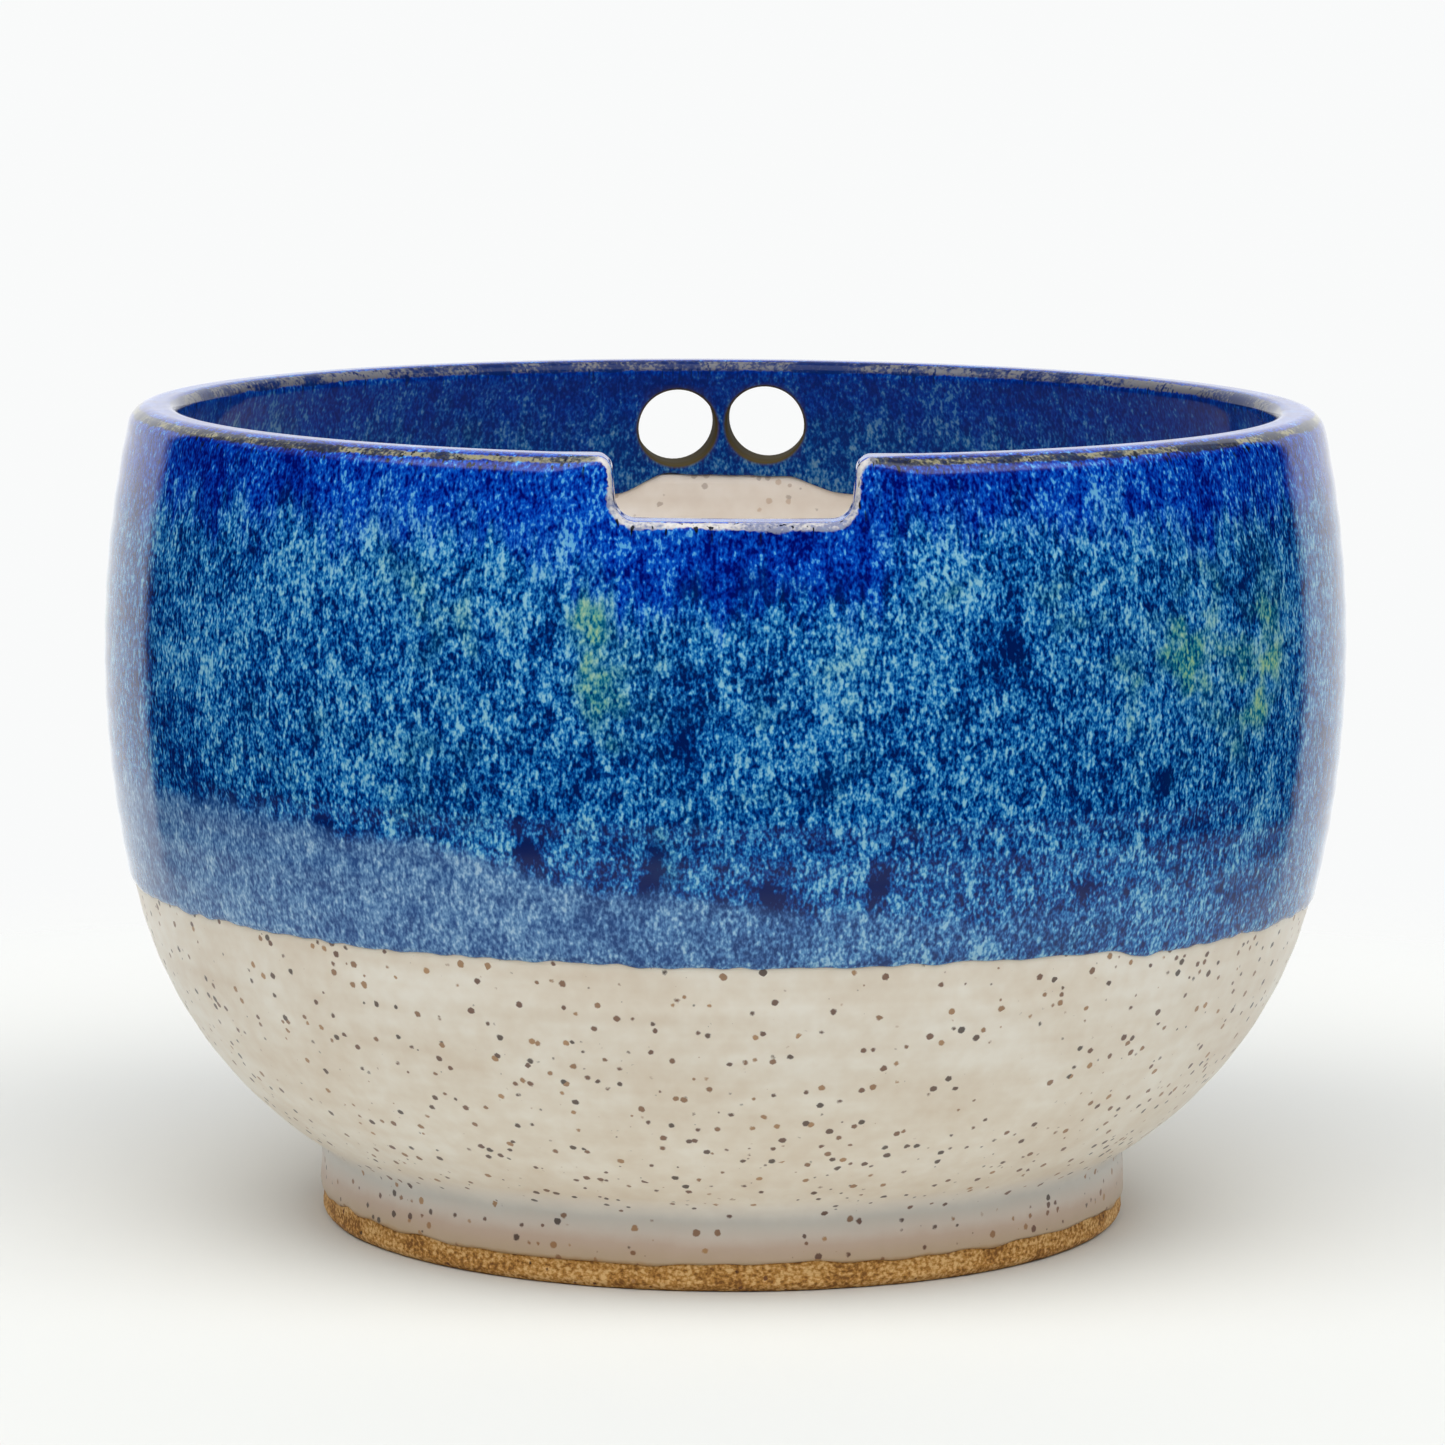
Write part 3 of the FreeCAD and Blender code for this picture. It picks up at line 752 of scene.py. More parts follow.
@dataclass(frozen=True)
class BlueGlaze:
    """The blue coat: dipped over the rim, down to the belly outside and a short way down inside."""

    wall: Wall = Wall()
    coat: float = 0.8
    white_coat: float = 0.4
    outside_height: float = 41.35
    white_top: float = 51.0
    inside_height: float = 81.0
    liner_top: float = 83.6
    hole_lift: float = 2.35
    edge_reach: float = 1.1
    inner_edge_reach: float = 0.4
    tilt: float = 0.65
    tilted_towards: float = math.radians(-25.0)
    kink: float = 1.0
    kink_start: float = math.radians(37.0)
    kink_turn: float = 0.07
    band_middle: float = 51.9
    band_swing: float = 4.4
    green: tuple[Pool, ...] = (
        Pool(-11.5, 79.0, 2.6, 6.5, 0.8),
        Pool(-9.5, 71.0, 2.6, 4.5, 0.6),
        Pool(-24.0, 80.0, 7.0, 5.0, 0.35),
        Pool(45.0, 77.0, 5.0, 8.0, 1.0),
        Pool(54.0, 73.0, 6.0, 8.0, 0.95),
        Pool(37.0, 69.0, 3.0, 7.0, 0.5),
        Pool(20.5, 84.5, 4.0, 2.8, 0.6),
        Pool(30.0, 82.0, 6.0, 3.5, 0.5),
    )
    dark: tuple[Pool, ...] = (
        Pool(-17.0, 54.5, 1.1, 1.6),
        Pool(-6.0, 53.0, 1.0, 1.7),
        Pool(4.0, 49.6, 1.5, 2.2),
        Pool(13.5, 52.0, 1.4, 1.8),
        Pool(25.0, 77.0, 1.0, 1.9),
        Pool(41.5, 60.5, 1.2, 2.0),
        Pool(33.5, 48.8, 1.2, 1.5),
        Pool(-17.8, 57.5, 0.9, 1.3),
        Pool(1.2, 85.2, 13.0, 2.3, 0.9),
        Pool(14.2, 41.8, 0.6, 0.7),
    )

    def low_outside(self, bearing: Array) -> Array:
        """The dip line outside: slightly tilted, with one step down, and a ragged fine edge.

        Args:
            bearing: The columns' bearings.

        Returns:
            The line's height at each.
        """
        turn = half_turns(bearing)
        step = smooth_step(turn, self.kink_start, self.kink_start + self.kink_turn)
        step = step * (1 - smooth_step(turn, 1.4, 2.6))
        line = self.outside_height + self.tilt * np.cos(turn - self.tilted_towards) - self.kink * step
        return line + waves(bearing, 0.12, 9, 150, SEED + 1)

    def low_inside(self, bearing: Array) -> Array:
        """The dip line inside, which lifts round the two holes.

        Args:
            bearing: The columns' bearings.

        Returns:
            The line's height at each.
        """
        across = np.abs(self.wall.middle_radius * np.sin(bearing) - 0.2)
        lift = self.hole_lift * (1 - smooth_step(across, 8.0, 14.5)) * (np.cos(bearing) < 0)
        return self.inside_height + lift + waves(bearing, 0.14, 9, 90, SEED + 2)

    def band_height(self, points: Array) -> Array:
        """How far points are below the line to which the white coat shows through the blue.

        The line swings down once at the front and up once at the back, each as a tanh of the bearing.

        Args:
            points: The points.

        Returns:
            The distance for every point, negative above the line.
        """
        turn = half_turns(bearing_of(points))
        down = -np.tanh((turn + 0.28) / 0.35)
        up = np.tanh((np.mod(turn, FULL_TURN) - 3.3) / 0.44)
        line = self.band_middle + self.band_swing * np.where(np.abs(turn) < math.pi / 2, down, up)
        return line - points[:, 2]

    def milkiness(self, points: Array) -> Array:
        """How milky the blue is over the white: most at the left and the back, least at the right."""
        turn = half_turns(bearing_of(points))
        return 1 - 0.92 * smooth_step(turn, -0.5, 0.9) * (1 - smooth_step(turn, 1.6, 2.6))

    def at_notch(self, points: Array) -> Array:
        """1 on the notch's floor, sides and edges, and 0 elsewhere.

        Args:
            points: The points.

        Returns:
            The mark for every point.
        """
        across = np.abs(points[:, 0] - self.wall.notch.offset)
        ahead = smooth_step(-points[:, 1], 60.0, 68.0) * (1 - smooth_step(across, 14.6, 15.6))
        return ahead * smooth_step(points[:, 2], 88.0, 90.5)

    def over_white(self, height: Array, top: float, fade: float) -> Array:
        """How far the coat's back stands off the clay: by the white coat up to its top, then by 0."""
        return self.white_coat * (1 - smooth_step(height, top, top + fade))

    def thickness(self, above: Array, reach: float) -> Array:
        """How far the coat's face is off the clay: it rises over a rounded edge to the full coat."""
        return self.white_coat + (self.coat - self.white_coat) * rounded(above, reach)

    def more_pools(self, count: int, seed: int, low: float, high: float, reach: float) -> tuple[Pool, ...]:
        """Draws spots for the back from a seed.

        Args:
            count: How many.
            seed: The seed.
            low: The least height of a middle, in mm.
            high: The greatest height of a middle, in mm.
            reach: The largest half width, in mm.

        Returns:
            The spots.
        """
        draw = np.random.default_rng(seed)
        pools = []
        for width in draw.uniform(0.4 * reach, reach, count):
            bearing, height = draw.uniform(75, 285), draw.uniform(low, high)
            pools.append(Pool(bearing, height, width, 1.6 * width, draw.uniform(0.5, 0.9)))
        return tuple(pools)

    def build(self) -> bpy.types.Object:
        """Makes the coat: its shiny face, and its back against the clay and the white.

        Returns:
            The piece, with the marks that its finish reads.
        """
        shell = Shell()
        face = Skin(
            self.low_outside,
            self.low_inside,
            lambda above, height: self.thickness(above, self.edge_reach),
            lambda above, height: self.thickness(above, self.inner_edge_reach),
            self.coat,
            (0.0, 0.1, 0.28, 0.55, 0.9, 1.4),
            (0.0, 0.08, 0.2, 0.38),
            below_holes=36,
            beside_holes=16,
            lip_rows=6,
        )
        grid = self.wall.add_skin(shell, face)
        back = Skin(
            self.low_outside,
            self.low_inside,
            lambda above, height: self.over_white(height, self.white_top, 0.4),
            lambda above, height: self.over_white(height, self.liner_top, 0.1),
            0.0,
            (0.0, 4.5, 8.2, 10.4),
            (0.0, 0.3),
            below_holes=6,
            beside_holes=5,
            lip_rows=2,
            hole_grows=0.4,
            turned=True,
        )
        self.wall.add_skin(shell, back, ends=(grid[0], grid[-1]))
        radius = self.wall.section.belly_radius
        green = self.green + self.more_pools(12, SEED + 3, 64.0, 84.0, 6.0)
        dark = self.dark + self.more_pools(22, SEED + 4, 45.0, 80.0, 1.7)
        marks = {
            "band_mm": self.band_height,
            "milk": self.milkiness,
            "green": lambda points: spots(points, green, radius),
            "dark": lambda points: spots(points, dark, radius),
            "notch": self.at_notch,
        }
        return shell.build("blue_glaze_coat", marks)


def even_bearings(radius: float, step: float) -> Array:
    """Evenly spread bearings, about one step apart at a radius."""
    return np.linspace(0, FULL_TURN, round(FULL_TURN * radius / step), endpoint=False)


@dataclass(frozen=True)
class WhiteOutside:
    """The cream-white coat on the lower outside, from the foot's bare band to under the blue."""

    wall: Wall = Wall()
    coat: float = 0.4
    bare_height: float = 3.2
    top: float = 51.0
    fill_top: float = 13.0

    def low(self, bearing: Array) -> Array:
        """The wiped edge above the bare foot, a little uneven."""
        return self.bare_height + waves(bearing, 0.16, 3, 60, SEED + 5)

    def build(self) -> bpy.types.Object:
        """Makes the coat: rows of the outside radius up its face, and down its back on the clay.

        Returns:
            The piece.
        """
        section, shell = self.wall.section, Shell()
        bearing = even_bearings(section.belly_radius, 0.85)
        low = self.low(bearing)
        near = low + np.array([0.0, 0.06, 0.16, 0.32, 0.55])[:, None]
        fill = near[-1] + np.linspace(0, 1, 24)[1:, None] * (self.fill_top - near[-1])
        rise = np.linspace(self.fill_top, self.top, 32)[1:, None] + 0 * bearing
        height = np.concatenate([near, fill, rise])
        radius = section.outside(bearing, height, 0.001) + self.coat * rounded(height - low, 0.6)
        radius = np.where(height > near[-1], section.outside(bearing, height, self.coat), radius)
        face = shell.add_points(self.wall.place(bearing, height, radius))
        down = np.concatenate([rise[::-4], fill[::-4]])
        back = shell.add_points(self.wall.place(bearing, down, section.outside(bearing, down, 0.0)))
        shell.add_quads(np.concatenate([face, back, face[:1]]))
        return shell.build("white_glaze_outside_coat")


@dataclass(frozen=True)
class InnerFace:
    """The inside below the blue: the side wall, the floor arc and a floor with a thrown spiral."""

    wall: Wall = Wall()
    spiral_pitch: float = 7.5
    spiral_depth: float = 0.16

    def rows(self, bearing: Array, coat: float, arc_rows: int, floor_rows: int) -> tuple[Array, Array]:
        """The floor arc and the floor: points at equal angles of the arc, then level rings.

        Args:
            bearing: The columns' bearings.
            coat: How far the face is off the clay.
            arc_rows: How many rows the arc has.
            floor_rows: How many rings the level floor has.

        Returns:
            Radius and height, rows by columns.
        """
        section = self.wall.section
        centre_radius, centre_height, radius = section.floor_arc
        inner = section.side_arc_radius - section.wall_thickness
        start = math.asin((section.belly_height - section.inner_turn_height) / inner)
        angle = np.linspace(start, math.pi / 2, arc_rows + 1)[:, None]
        height = centre_height - (radius - coat) * np.sin(angle) + 0 * bearing
        across = centre_radius + (radius - coat) * np.cos(angle)
        across = across - section.hand(bearing, height) * np.cos(angle)
        rings = np.linspace(centre_radius, 1.2, floor_rows + 1)[1:, None]
        turns = FULL_TURN * rings / self.spiral_pitch
        fade = smooth_step(centre_radius - rings, 0, 6) * smooth_step(rings, 0, 5)
        floor = section.floor_height + coat + self.spiral_depth * fade * (1 + np.sin(turns + bearing)) / 2
        return np.concatenate([across, rings + 0 * bearing]), np.concatenate([height, floor])


@dataclass(frozen=True)
class Liner:
    """The cream-white coat inside, from under the blue down over the whole floor."""

    wall: Wall = Wall()
    inner: InnerFace = InnerFace()
    coat: float = 0.4
    top: float = 83.6
    edge_drop: float = 0.3

    def build(self) -> bpy.types.Object:
        """Makes the coat: its back up the clay, and its face down the wall and across the floor.

        Returns:
            The piece.
        """
        section, shell = self.wall.section, Shell()
        bearing = even_bearings(section.belly_radius, 1.0)
        _, centre, reach = section.floor_arc
        slope = (centre - section.inner_turn_height) / reach
        sides = {}
        rows = (("face", self.coat, self.edge_drop, 28, 22, 26), ("back", 0.0, 0.0, 9, 9, 4))
        for name, coat, drop, side_rows, arc_rows, floor_rows in rows:
            start = centre - (reach - coat) * slope
            height = np.linspace(self.top - drop, start, side_rows, endpoint=False)[:, None] + 0 * bearing
            radius, low = self.inner.rows(bearing, coat, arc_rows, floor_rows)
            radius = np.concatenate([section.inside(bearing, height, coat), radius])
            height = np.concatenate([height, low])
            sides[name] = shell.add_points(self.wall.place(bearing, height, radius))
            shell.add_cap(sides[name][-1], (0.0, 0.0, float(height[-1].mean())), turned=not coat)
        shell.add_quads(sides["face"])
        shell.add_quads(sides["back"], turned=True)
        shell.add_quads(np.stack([sides["back"][0], sides["face"][0]]))
        return shell.build("white_glaze_liner")


@dataclass(frozen=True)
class ThrownBowl:
    """The clay of the bowl: the whole wall with its notch and holes, its floor, and its trimmed base."""

    wall: Wall = Wall(column_step=1.7, hole_columns=8)
    inner: InnerFace = InnerFace()
    groove_pitch: float = 2.3
    groove_depth: float = 0.14
    grooves_end: float = 38.5
    under_foot: tuple[float, float] = (39.5, 44.0)

    def build(self) -> bpy.types.Object:
        """Makes the clay: base, outside, over the lip, inside and floor.

        Returns:
            The piece.
        """
        section, shell = self.wall.section, Shell()
        turn = section.inner_turn_height
        skin = Skin(
            lambda b: np.full_like(b, section.foot_height),
            lambda b: np.full_like(b, turn + 0.8),
            no_coat,
            no_coat,
            0.0,
            (0.0, 0.8, 2.0),
            (0.0, 1.5),
            below_holes=26,
            beside_holes=8,
            lip_rows=3,
            hole_grows=0.4,
        )
        grid = self.wall.add_skin(shell, skin)
        bearing = self.wall.columns(0.0)["low_bearing"]
        radius, height = self.inner.rows(bearing, 0.0, 12, 6)
        floor = shell.add_points(self.wall.place(bearing, height, radius))
        shell.add_quads(np.concatenate([grid[-1:], floor]))
        shell.add_cap(floor[-1], (0.0, 0.0, section.floor_height))
        rings = np.concatenate([np.linspace(1.0, self.grooves_end, 64), self.under_foot])[:, None]
        fade = smooth_step(self.grooves_end + 0.2 - rings, 0.0, 1.5)
        groove = np.abs(np.sin(math.pi * rings / self.groove_pitch + bearing / 2)) ** 0.7
        base = section.foot_height + self.groove_depth * fade * (1 - groove) + 0 * bearing
        under = shell.add_points(self.wall.place(bearing, base, rings + 0 * bearing))
        shell.add_quads(np.concatenate([under, grid[:1]]))
        shell.add_cap(under[0], (0.0, 0.0, section.foot_height), turned=True)
        return shell.build("thrown_bowl_clay")


@dataclass(frozen=True)
class FootRing:
    """The clay ring under the bowl: leaning sides, rounded edges and a level face to stand on."""

    wall: Wall = Wall()
    edge_radius: float = 1.2
    width: float = 8.5
    lean: float = math.radians(10.0)

    def build(self) -> bpy.types.Object:
        """Makes the ring: its section, a closed line of sides and quarter rounds, turned round the pot.

        Returns:
            The piece.
        """
        section, shell = self.wall.section, Shell()
        edge, top = self.edge_radius, section.foot_height
        outer = section.junction_radius + section.foot_splay
        inner = outer - self.width
        bearing = even_bearings(outer, 0.7)
        turn = np.linspace(0, math.pi / 2, 7)
        side = np.linspace(edge, top, 12)
        parts = [
            (outer - section.foot_splay * side / top, side),
            (np.linspace(section.junction_radius, inner - top * math.tan(self.lean), 6)[1:], top),
            (inner - side[::-1] * math.tan(self.lean), side[::-1]),
            (inner + edge - edge * np.cos(turn), edge - edge * np.sin(turn)),
            (np.linspace(inner + edge, outer - edge, 8)[1:-1], 0.0),
            (outer - edge + edge * np.sin(turn), edge - edge * np.cos(turn)),
        ]
        radius, height = np.concatenate([np.stack(np.broadcast_arrays(*part)) for part in parts], axis=1)
        # The foot's outer edge is worn a little, less and less up to where it is still crisp.
        worn = 0.05 + waves(bearing, 0.03, 5, 90, SEED + 6)
        low = (1 - smooth_step(height, 0.2, 2.4))[:, None] * (height > 0.01)[:, None]
        outside = (radius > outer - edge)[:, None]
        spread = radius[:, None] - outside * (section.hand(bearing, height[:, None]) + np.abs(worn) * low)
        numbers = shell.add_points(self.wall.place(bearing, height[:, None] + 0 * bearing, spread))
        shell.add_quads(np.concatenate([numbers, numbers[:1]]))
        return shell.build("foot_ring_clay")


# Materials.


def linear(code: str) -> tuple[float, float, float, float]:
    """Turns an sRGB hex code into the linear colour that a shader wants."""
    parts = (int(code[i : i + 2], 16) / 255 for i in (1, 3, 5))
    return (*(c / 12.92 if c <= 0.04045 else ((c + 0.055) / 1.055) ** 2.4 for c in parts), 1.0)


def add(
    tree: Tree,
    kind: str,
    sockets: dict | None = None,
    stops: dict | None = None,
    out: int | str = 0,
    **settings: Any,
) -> Socket:
    """Adds one node.

    Args:
        tree: The node tree.
        kind: The node's type, without its ShaderNode prefix.
        sockets: Input sockets by name or number, each with a value or another node's output.
        stops: A colour ramp's stops: places, each with its hex colour.
        out: Which output is wanted.
        settings: The node's own properties.

    Returns:
        That output of the node.
    """
    node = tree.nodes.new("ShaderNode" + kind)
    for name, value in settings.items():
        setattr(node, name, value)
    for name, value in (sockets or {}).items():
        if isinstance(value, bpy.types.NodeSocket):
            tree.links.new(value, node.inputs[name])
        else:
            node.inputs[name].default_value = value
    if stops:
        ramp = node.color_ramp.elements
        while len(ramp) < len(stops):
            ramp.new(1.0)
        for element, (place, code) in zip(ramp, stops.items()):
            element.position, element.color = place, linear(code)
    return node.outputs[out]


def stretch(value: Socket, ends: tuple[float, float], top: float = 1.0) -> dict[str, Any]:
    """The sockets that carry a value's stretch over to 0 at its first end and a top at its second.

    Args:
        value: The value.
        ends: The stretch's two ends, in either order.
        top: What it comes to at the second end.

    Returns:
        The sockets, for a node that stays level beyond both ends.
    """
    return {"Value": value, "From Min": ends[0], "From Max": ends[1], "To Max": top}


def new_finish(name: str, ior: float) -> tuple[bpy.types.Material, Tree, bpy.types.Node]:
    """Starts a material for a dielectric.

    Args:
        name: The material's name.
        ior: Its index of refraction.

    Returns:
        The material, its nodes and its shader.
    """
    material = bpy.data.materials.new(name)
    material.use_nodes = True
    shader = material.node_tree.nodes["Principled BSDF"]
    shader.inputs["IOR"].default_value = ior
    return material, material.node_tree, shader


@dataclass(frozen=True)
class Grain:
    """One size of unevenness in a glaze: how wide and how tall its cells are, and how strong."""

    width: float
    tall: float
    weight: float
    detail: float = 1.0


def layered(tree: Tree, grains: tuple[Grain, ...]) -> Socket:
    """Adds up noises of several sizes on the piece's own coordinates, round a middle of one half.

    Args:
        tree: The material's nodes.
        grains: The sizes.

    Returns:
        The sum.
    """
    coords, total = add(tree, "TexCoord", out="Object"), 0.5
    for grain in grains:
        scale = (1 / (grain.width * MM), 1 / (grain.width * MM), 1 / (grain.tall * MM))
        place = add(tree, "Mapping", {"Vector": coords, "Scale": scale})
        noise = add(tree, "TexNoise", {"Vector": place, "Scale": 1.0, "Detail": grain.detail})
        centred = add(tree, "Math", {0: noise, 1: 0.5}, operation="SUBTRACT")
        total = add(tree, "Math", {0: centred, 1: grain.weight, 2: total}, operation="MULTIPLY_ADD")
    return total


class Zone(Enum):
    """A zone of the blue glaze, with its colours from the deepest glass to the palest crystals."""

    BODY = {0.28: "#001c5c", 0.42: "#023e8e", 0.52: "#1069b6", 0.63: "#4098d2", 0.79: "#94cee6"}
    GREEN = {0.26: "#024276", 0.40: "#127494", 0.50: "#45979c", 0.60: "#78b69c", 0.80: "#aacc9c"}
    BAND = {0.24: "#1c4a8a", 0.39: "#3c6aa4", 0.51: "#5886ba", 0.63: "#74a2ce", 0.79: "#a8cae4"}
    RIM = {0.28: "#000c6c", 0.43: "#022a9c", 0.55: "#0448be", 0.67: "#1269d4", 0.80: "#62b2ea"}


@dataclass(frozen=True)
class FloatingBlue:
    """Rutile and cobalt floating-blue stoneware glaze, dipped and fired to a clear gloss.

    The eye gets deep cobalt where it ran thin off the rim, then thousands of short pale crystals
    drawn downwards by the melt, milky periwinkle where white lies under it, sea green where rutile
    gathered, and an olive line where it broke over the lip's edges. The grains' sizes, and every
    field whose name ends in mm, are millimetres on the pot.
    """

    ior: float = 1.5
    specular: float = 0.32
    roughness: float = 0.07
    flecks: tuple[Grain, ...] = (
        Grain(0.36, 0.62, 1.0, 1.0),
        Grain(0.75, 1.5, 0.6, 1.5),
        Grain(2.0, 3.2, 0.45),
        Grain(7.0, 10.0, 0.34),
        Grain(26.0, 22.0, 0.24),
    )
    streaks: tuple[Grain, ...] = (Grain(1.1, 9.0, 1.0, 2.0), Grain(6.0, 14.0, 0.8))
    wander: tuple[Grain, ...] = (Grain(3.0, 3.0, 0.8, 2.0), Grain(12.0, 12.0, 1.0))
    drips: tuple[Grain, ...] = (Grain(0.55, 4.0, 1.0),)
    skin: tuple[Grain, ...] = (Grain(4.0, 4.0, 1.0), Grain(0.7, 1.0, 0.15))
    # How much a dark pool takes off the crystals' brightness.
    pool_shade: float = 0.42
    # How broken up the green patches are, how far green drifts elsewhere, and where it sets in.
    patchiness: tuple[float, float] = (2.4, -0.45)
    green_drift: float = 0.9
    green_sets_in: tuple[float, float] = (0.46, 1.45)
    # How far the band's line wanders, and over which depth under that line the milk comes in.
    band_wander_mm: float = 5.0
    band_comes_in_mm: tuple[float, float] = (1.3, 3.6)
    # How long the cobalt's streaks are, and over which depth under the rim the cobalt goes out.
    streak_mm: float = 14.0
    cobalt_goes_out_mm: tuple[float, float] = (5.0, -2.5)
    # The broken line along the lip's edges: its reach, how ragged it is, and the iron drips from it.
    edge_mm: tuple[float, float] = (1.08, 0.82)
    edge_wander_mm: float = 0.9
    inner_edge_extra_mm: float = 0.4
    edge_strength: float = 0.9
    drips_start: tuple[float, float] = (0.63, 0.69)
    drips_reach_mm: tuple[float, float] = (2.6, 1.0)
    # Inside, painted shade: the coat is darker and calmer there. Its bores were wiped almost dry.
    painted_inner_shade: float = 0.65
    bore_roughness: float = 0.9
    # How much of the gloss is left on the notch and inside.
    hidden_gloss: float = 0.25

    def colour(self, tree: Tree) -> Socket:
        """Mixes the glaze's colour from its zones.

        Args:
            tree: The material's nodes.

        Returns:
            The colour.
        """
        fleck, streak, wander = (
            layered(tree, grains) for grains in (self.flecks, self.streaks, self.wander)
        )
        names = ("outer_mm", "inner_mm", "inner", "band_mm", "milk", "green", "dark", "notch", "bore")
        marks = {name: add(tree, "Attribute", out="Fac", attribute_name=name) for name in names}
        # Dark pools thin out the pale crystals.
        pooled = {0: marks["dark"], 1: -self.pool_shade, 2: fleck}
        dark = add(tree, "Math", pooled, operation="MULTIPLY_ADD")
        body = add(tree, "ValToRGB", {0: dark}, Zone.BODY.value)
        green = add(tree, "ValToRGB", {0: dark}, Zone.GREEN.value)
        gain, offset = self.patchiness
        patchy = add(tree, "Math", {0: wander, 1: gain, 2: offset}, operation="MULTIPLY_ADD")
        greenness = add(tree, "Math", {0: marks["green"], 1: patchy}, operation="MULTIPLY")
        drift = {0: wander, 1: self.green_drift, 2: greenness}
        drifted = stretch(add(tree, "Math", drift, operation="MULTIPLY_ADD"), self.green_sets_in)
        greenness = add(tree, "MapRange", drifted, interpolation_type="SMOOTHSTEP")
        mixed = add(tree, "Mix", {0: greenness, 6: body, 7: green}, out=2, data_type="RGBA")
        # The milky band over the white coat, with a soft wandering line.
        edge = {0: wander, 1: self.band_wander_mm, 2: marks["band_mm"]}
        lap = stretch(add(tree, "Math", edge, operation="MULTIPLY_ADD"), self.band_comes_in_mm)
        band = add(tree, "MapRange", lap, interpolation_type="SMOOTHSTEP")
        inner_side = add(tree, "Math", {0: 1.0, 1: marks["inner"]}, operation="SUBTRACT")
        band = add(tree, "Math", {0: band, 1: inner_side}, operation="MULTIPLY")
        band = add(tree, "Math", {0: band, 1: marks["milk"]}, operation="MULTIPLY")
        milky = add(tree, "ValToRGB", {0: dark}, Zone.BAND.value)
        mixed = add(tree, "Mix", {0: band, 6: mixed, 7: milky}, out=2, data_type="RGBA")
        # Cobalt under the rim, inside and out, let down in streaks.
        depth = add(tree, "Math", {0: marks["outer_mm"], 1: marks["inner_mm"]}, operation="MINIMUM")
        let_down = {0: streak, 1: -self.streak_mm, 2: depth}
        under = stretch(add(tree, "Math", let_down, operation="MULTIPLY_ADD"), self.cobalt_goes_out_mm)
        rim = add(tree, "MapRange", under, interpolation_type="SMOOTHSTEP")
        cobalt = add(tree, "ValToRGB", {0: fleck}, Zone.RIM.value)
        mixed = add(tree, "Mix", {0: rim, 6: mixed, 7: cobalt}, out=2, data_type="RGBA")
        return self.paint_inner_shade_and_bores(tree, self.broken_edges_and_notch_highlight(tree, mixed, marks), marks)

    def broken_edges_and_notch_highlight(self, tree: Tree, colour: Socket, marks: dict[str, Socket]) -> Socket:
        """Adds the olive line on both lip edges, a painted cream highlight at the notch, and drips.

        Args:
            tree: The material's nodes.
            colour: The glaze's colour so far.
            marks: The piece's marks.

        Returns:
            The colour with its edges.
        """
        ragged = layered(tree, self.wander + (Grain(0.5, 0.5, 0.8, 2.0),))
        within = add(tree, "Math", {0: marks["inner_mm"], 1: -self.inner_edge_extra_mm}, operation="ADD")
        nearest = add(tree, "Math", {0: marks["outer_mm"], 1: within}, operation="MINIMUM")
        uneven = {0: ragged, 1: self.edge_wander_mm, 2: nearest}
        beside = stretch(add(tree, "Math", uneven, operation="MULTIPLY_ADD"), self.edge_mm)
        line = add(tree, "MapRange", beside, interpolation_type="SMOOTHSTEP")
        olive = add(tree, "ValToRGB", {0: ragged}, {0.36: "#12160f", 0.5: "#4b4a2c", 0.64: "#a39c6a"})
        # Painted highlight: at the notch the line turns cream, for the light its rounded edges catch.
        cream = add(tree, "ValToRGB", {0: ragged}, {0.3: "#8f93a8", 0.5: "#d9d4cc", 0.7: "#efe9dc"})
        tint = add(tree, "Mix", {0: marks["notch"], 6: olive, 7: cream}, out=2, data_type="RGBA")
        strength = add(tree, "Math", {0: line, 1: self.edge_strength}, operation="MULTIPLY")
        colour = add(tree, "Mix", {0: strength, 6: colour, 7: tint}, out=2, data_type="RGBA")
        drip = add(tree, "MapRange", stretch(layered(tree, self.drips), self.drips_start))
        reach = add(tree, "MapRange", stretch(nearest, self.drips_reach_mm))
        drip = add(tree, "Math", {0: drip, 1: reach}, operation="MULTIPLY")
        return add(tree, "Mix", {0: drip, 6: colour, 7: linear("#11130f")}, out=2, data_type="RGBA")

    def paint_inner_shade_and_bores(self, tree: Tree, colour: Socket, marks: dict[str, Socket]) -> Socket:
        """Paints shade inside, a calmer and darker colour, and browns it in the wiped bores.

        Args:
            tree: The material's nodes.
            colour: The glaze's colour so far.
            marks: The piece's marks.

        Returns:
            The whole colour.
        """
        # Painted shade: the colour inside is mixed toward one dark navy, for the bowl's hollow.
        shade = add(tree, "Math", {0: marks["inner"], 1: self.painted_inner_shade}, operation="MULTIPLY")
        colour = add(tree, "Mix", {0: shade, 6: colour, 7: linear("#062a72")}, out=2, data_type="RGBA")
        wiped = {0: marks["bore"], 6: colour, 7: linear("#4c4229")}
        return add(tree, "Mix", wiped, out=2, data_type="RGBA")

    def make(self) -> bpy.types.Material:
        """Makes the material.

        Returns:
            The finish.
        """
        material, tree, shader = new_finish("floating_blue_gloss_glaze", self.ior)
        tree.links.new(self.colour(tree), shader.inputs["Base Color"])
        bore, notch, inner = (
            add(tree, "Attribute", out="Fac", attribute_name=name) for name in ("bore", "notch", "inner")
        )
        dry = {"Value": bore, "To Min": self.roughness, "To Max": self.bore_roughness}
        tree.links.new(add(tree, "MapRange", dry), shader.inputs["Roughness"])
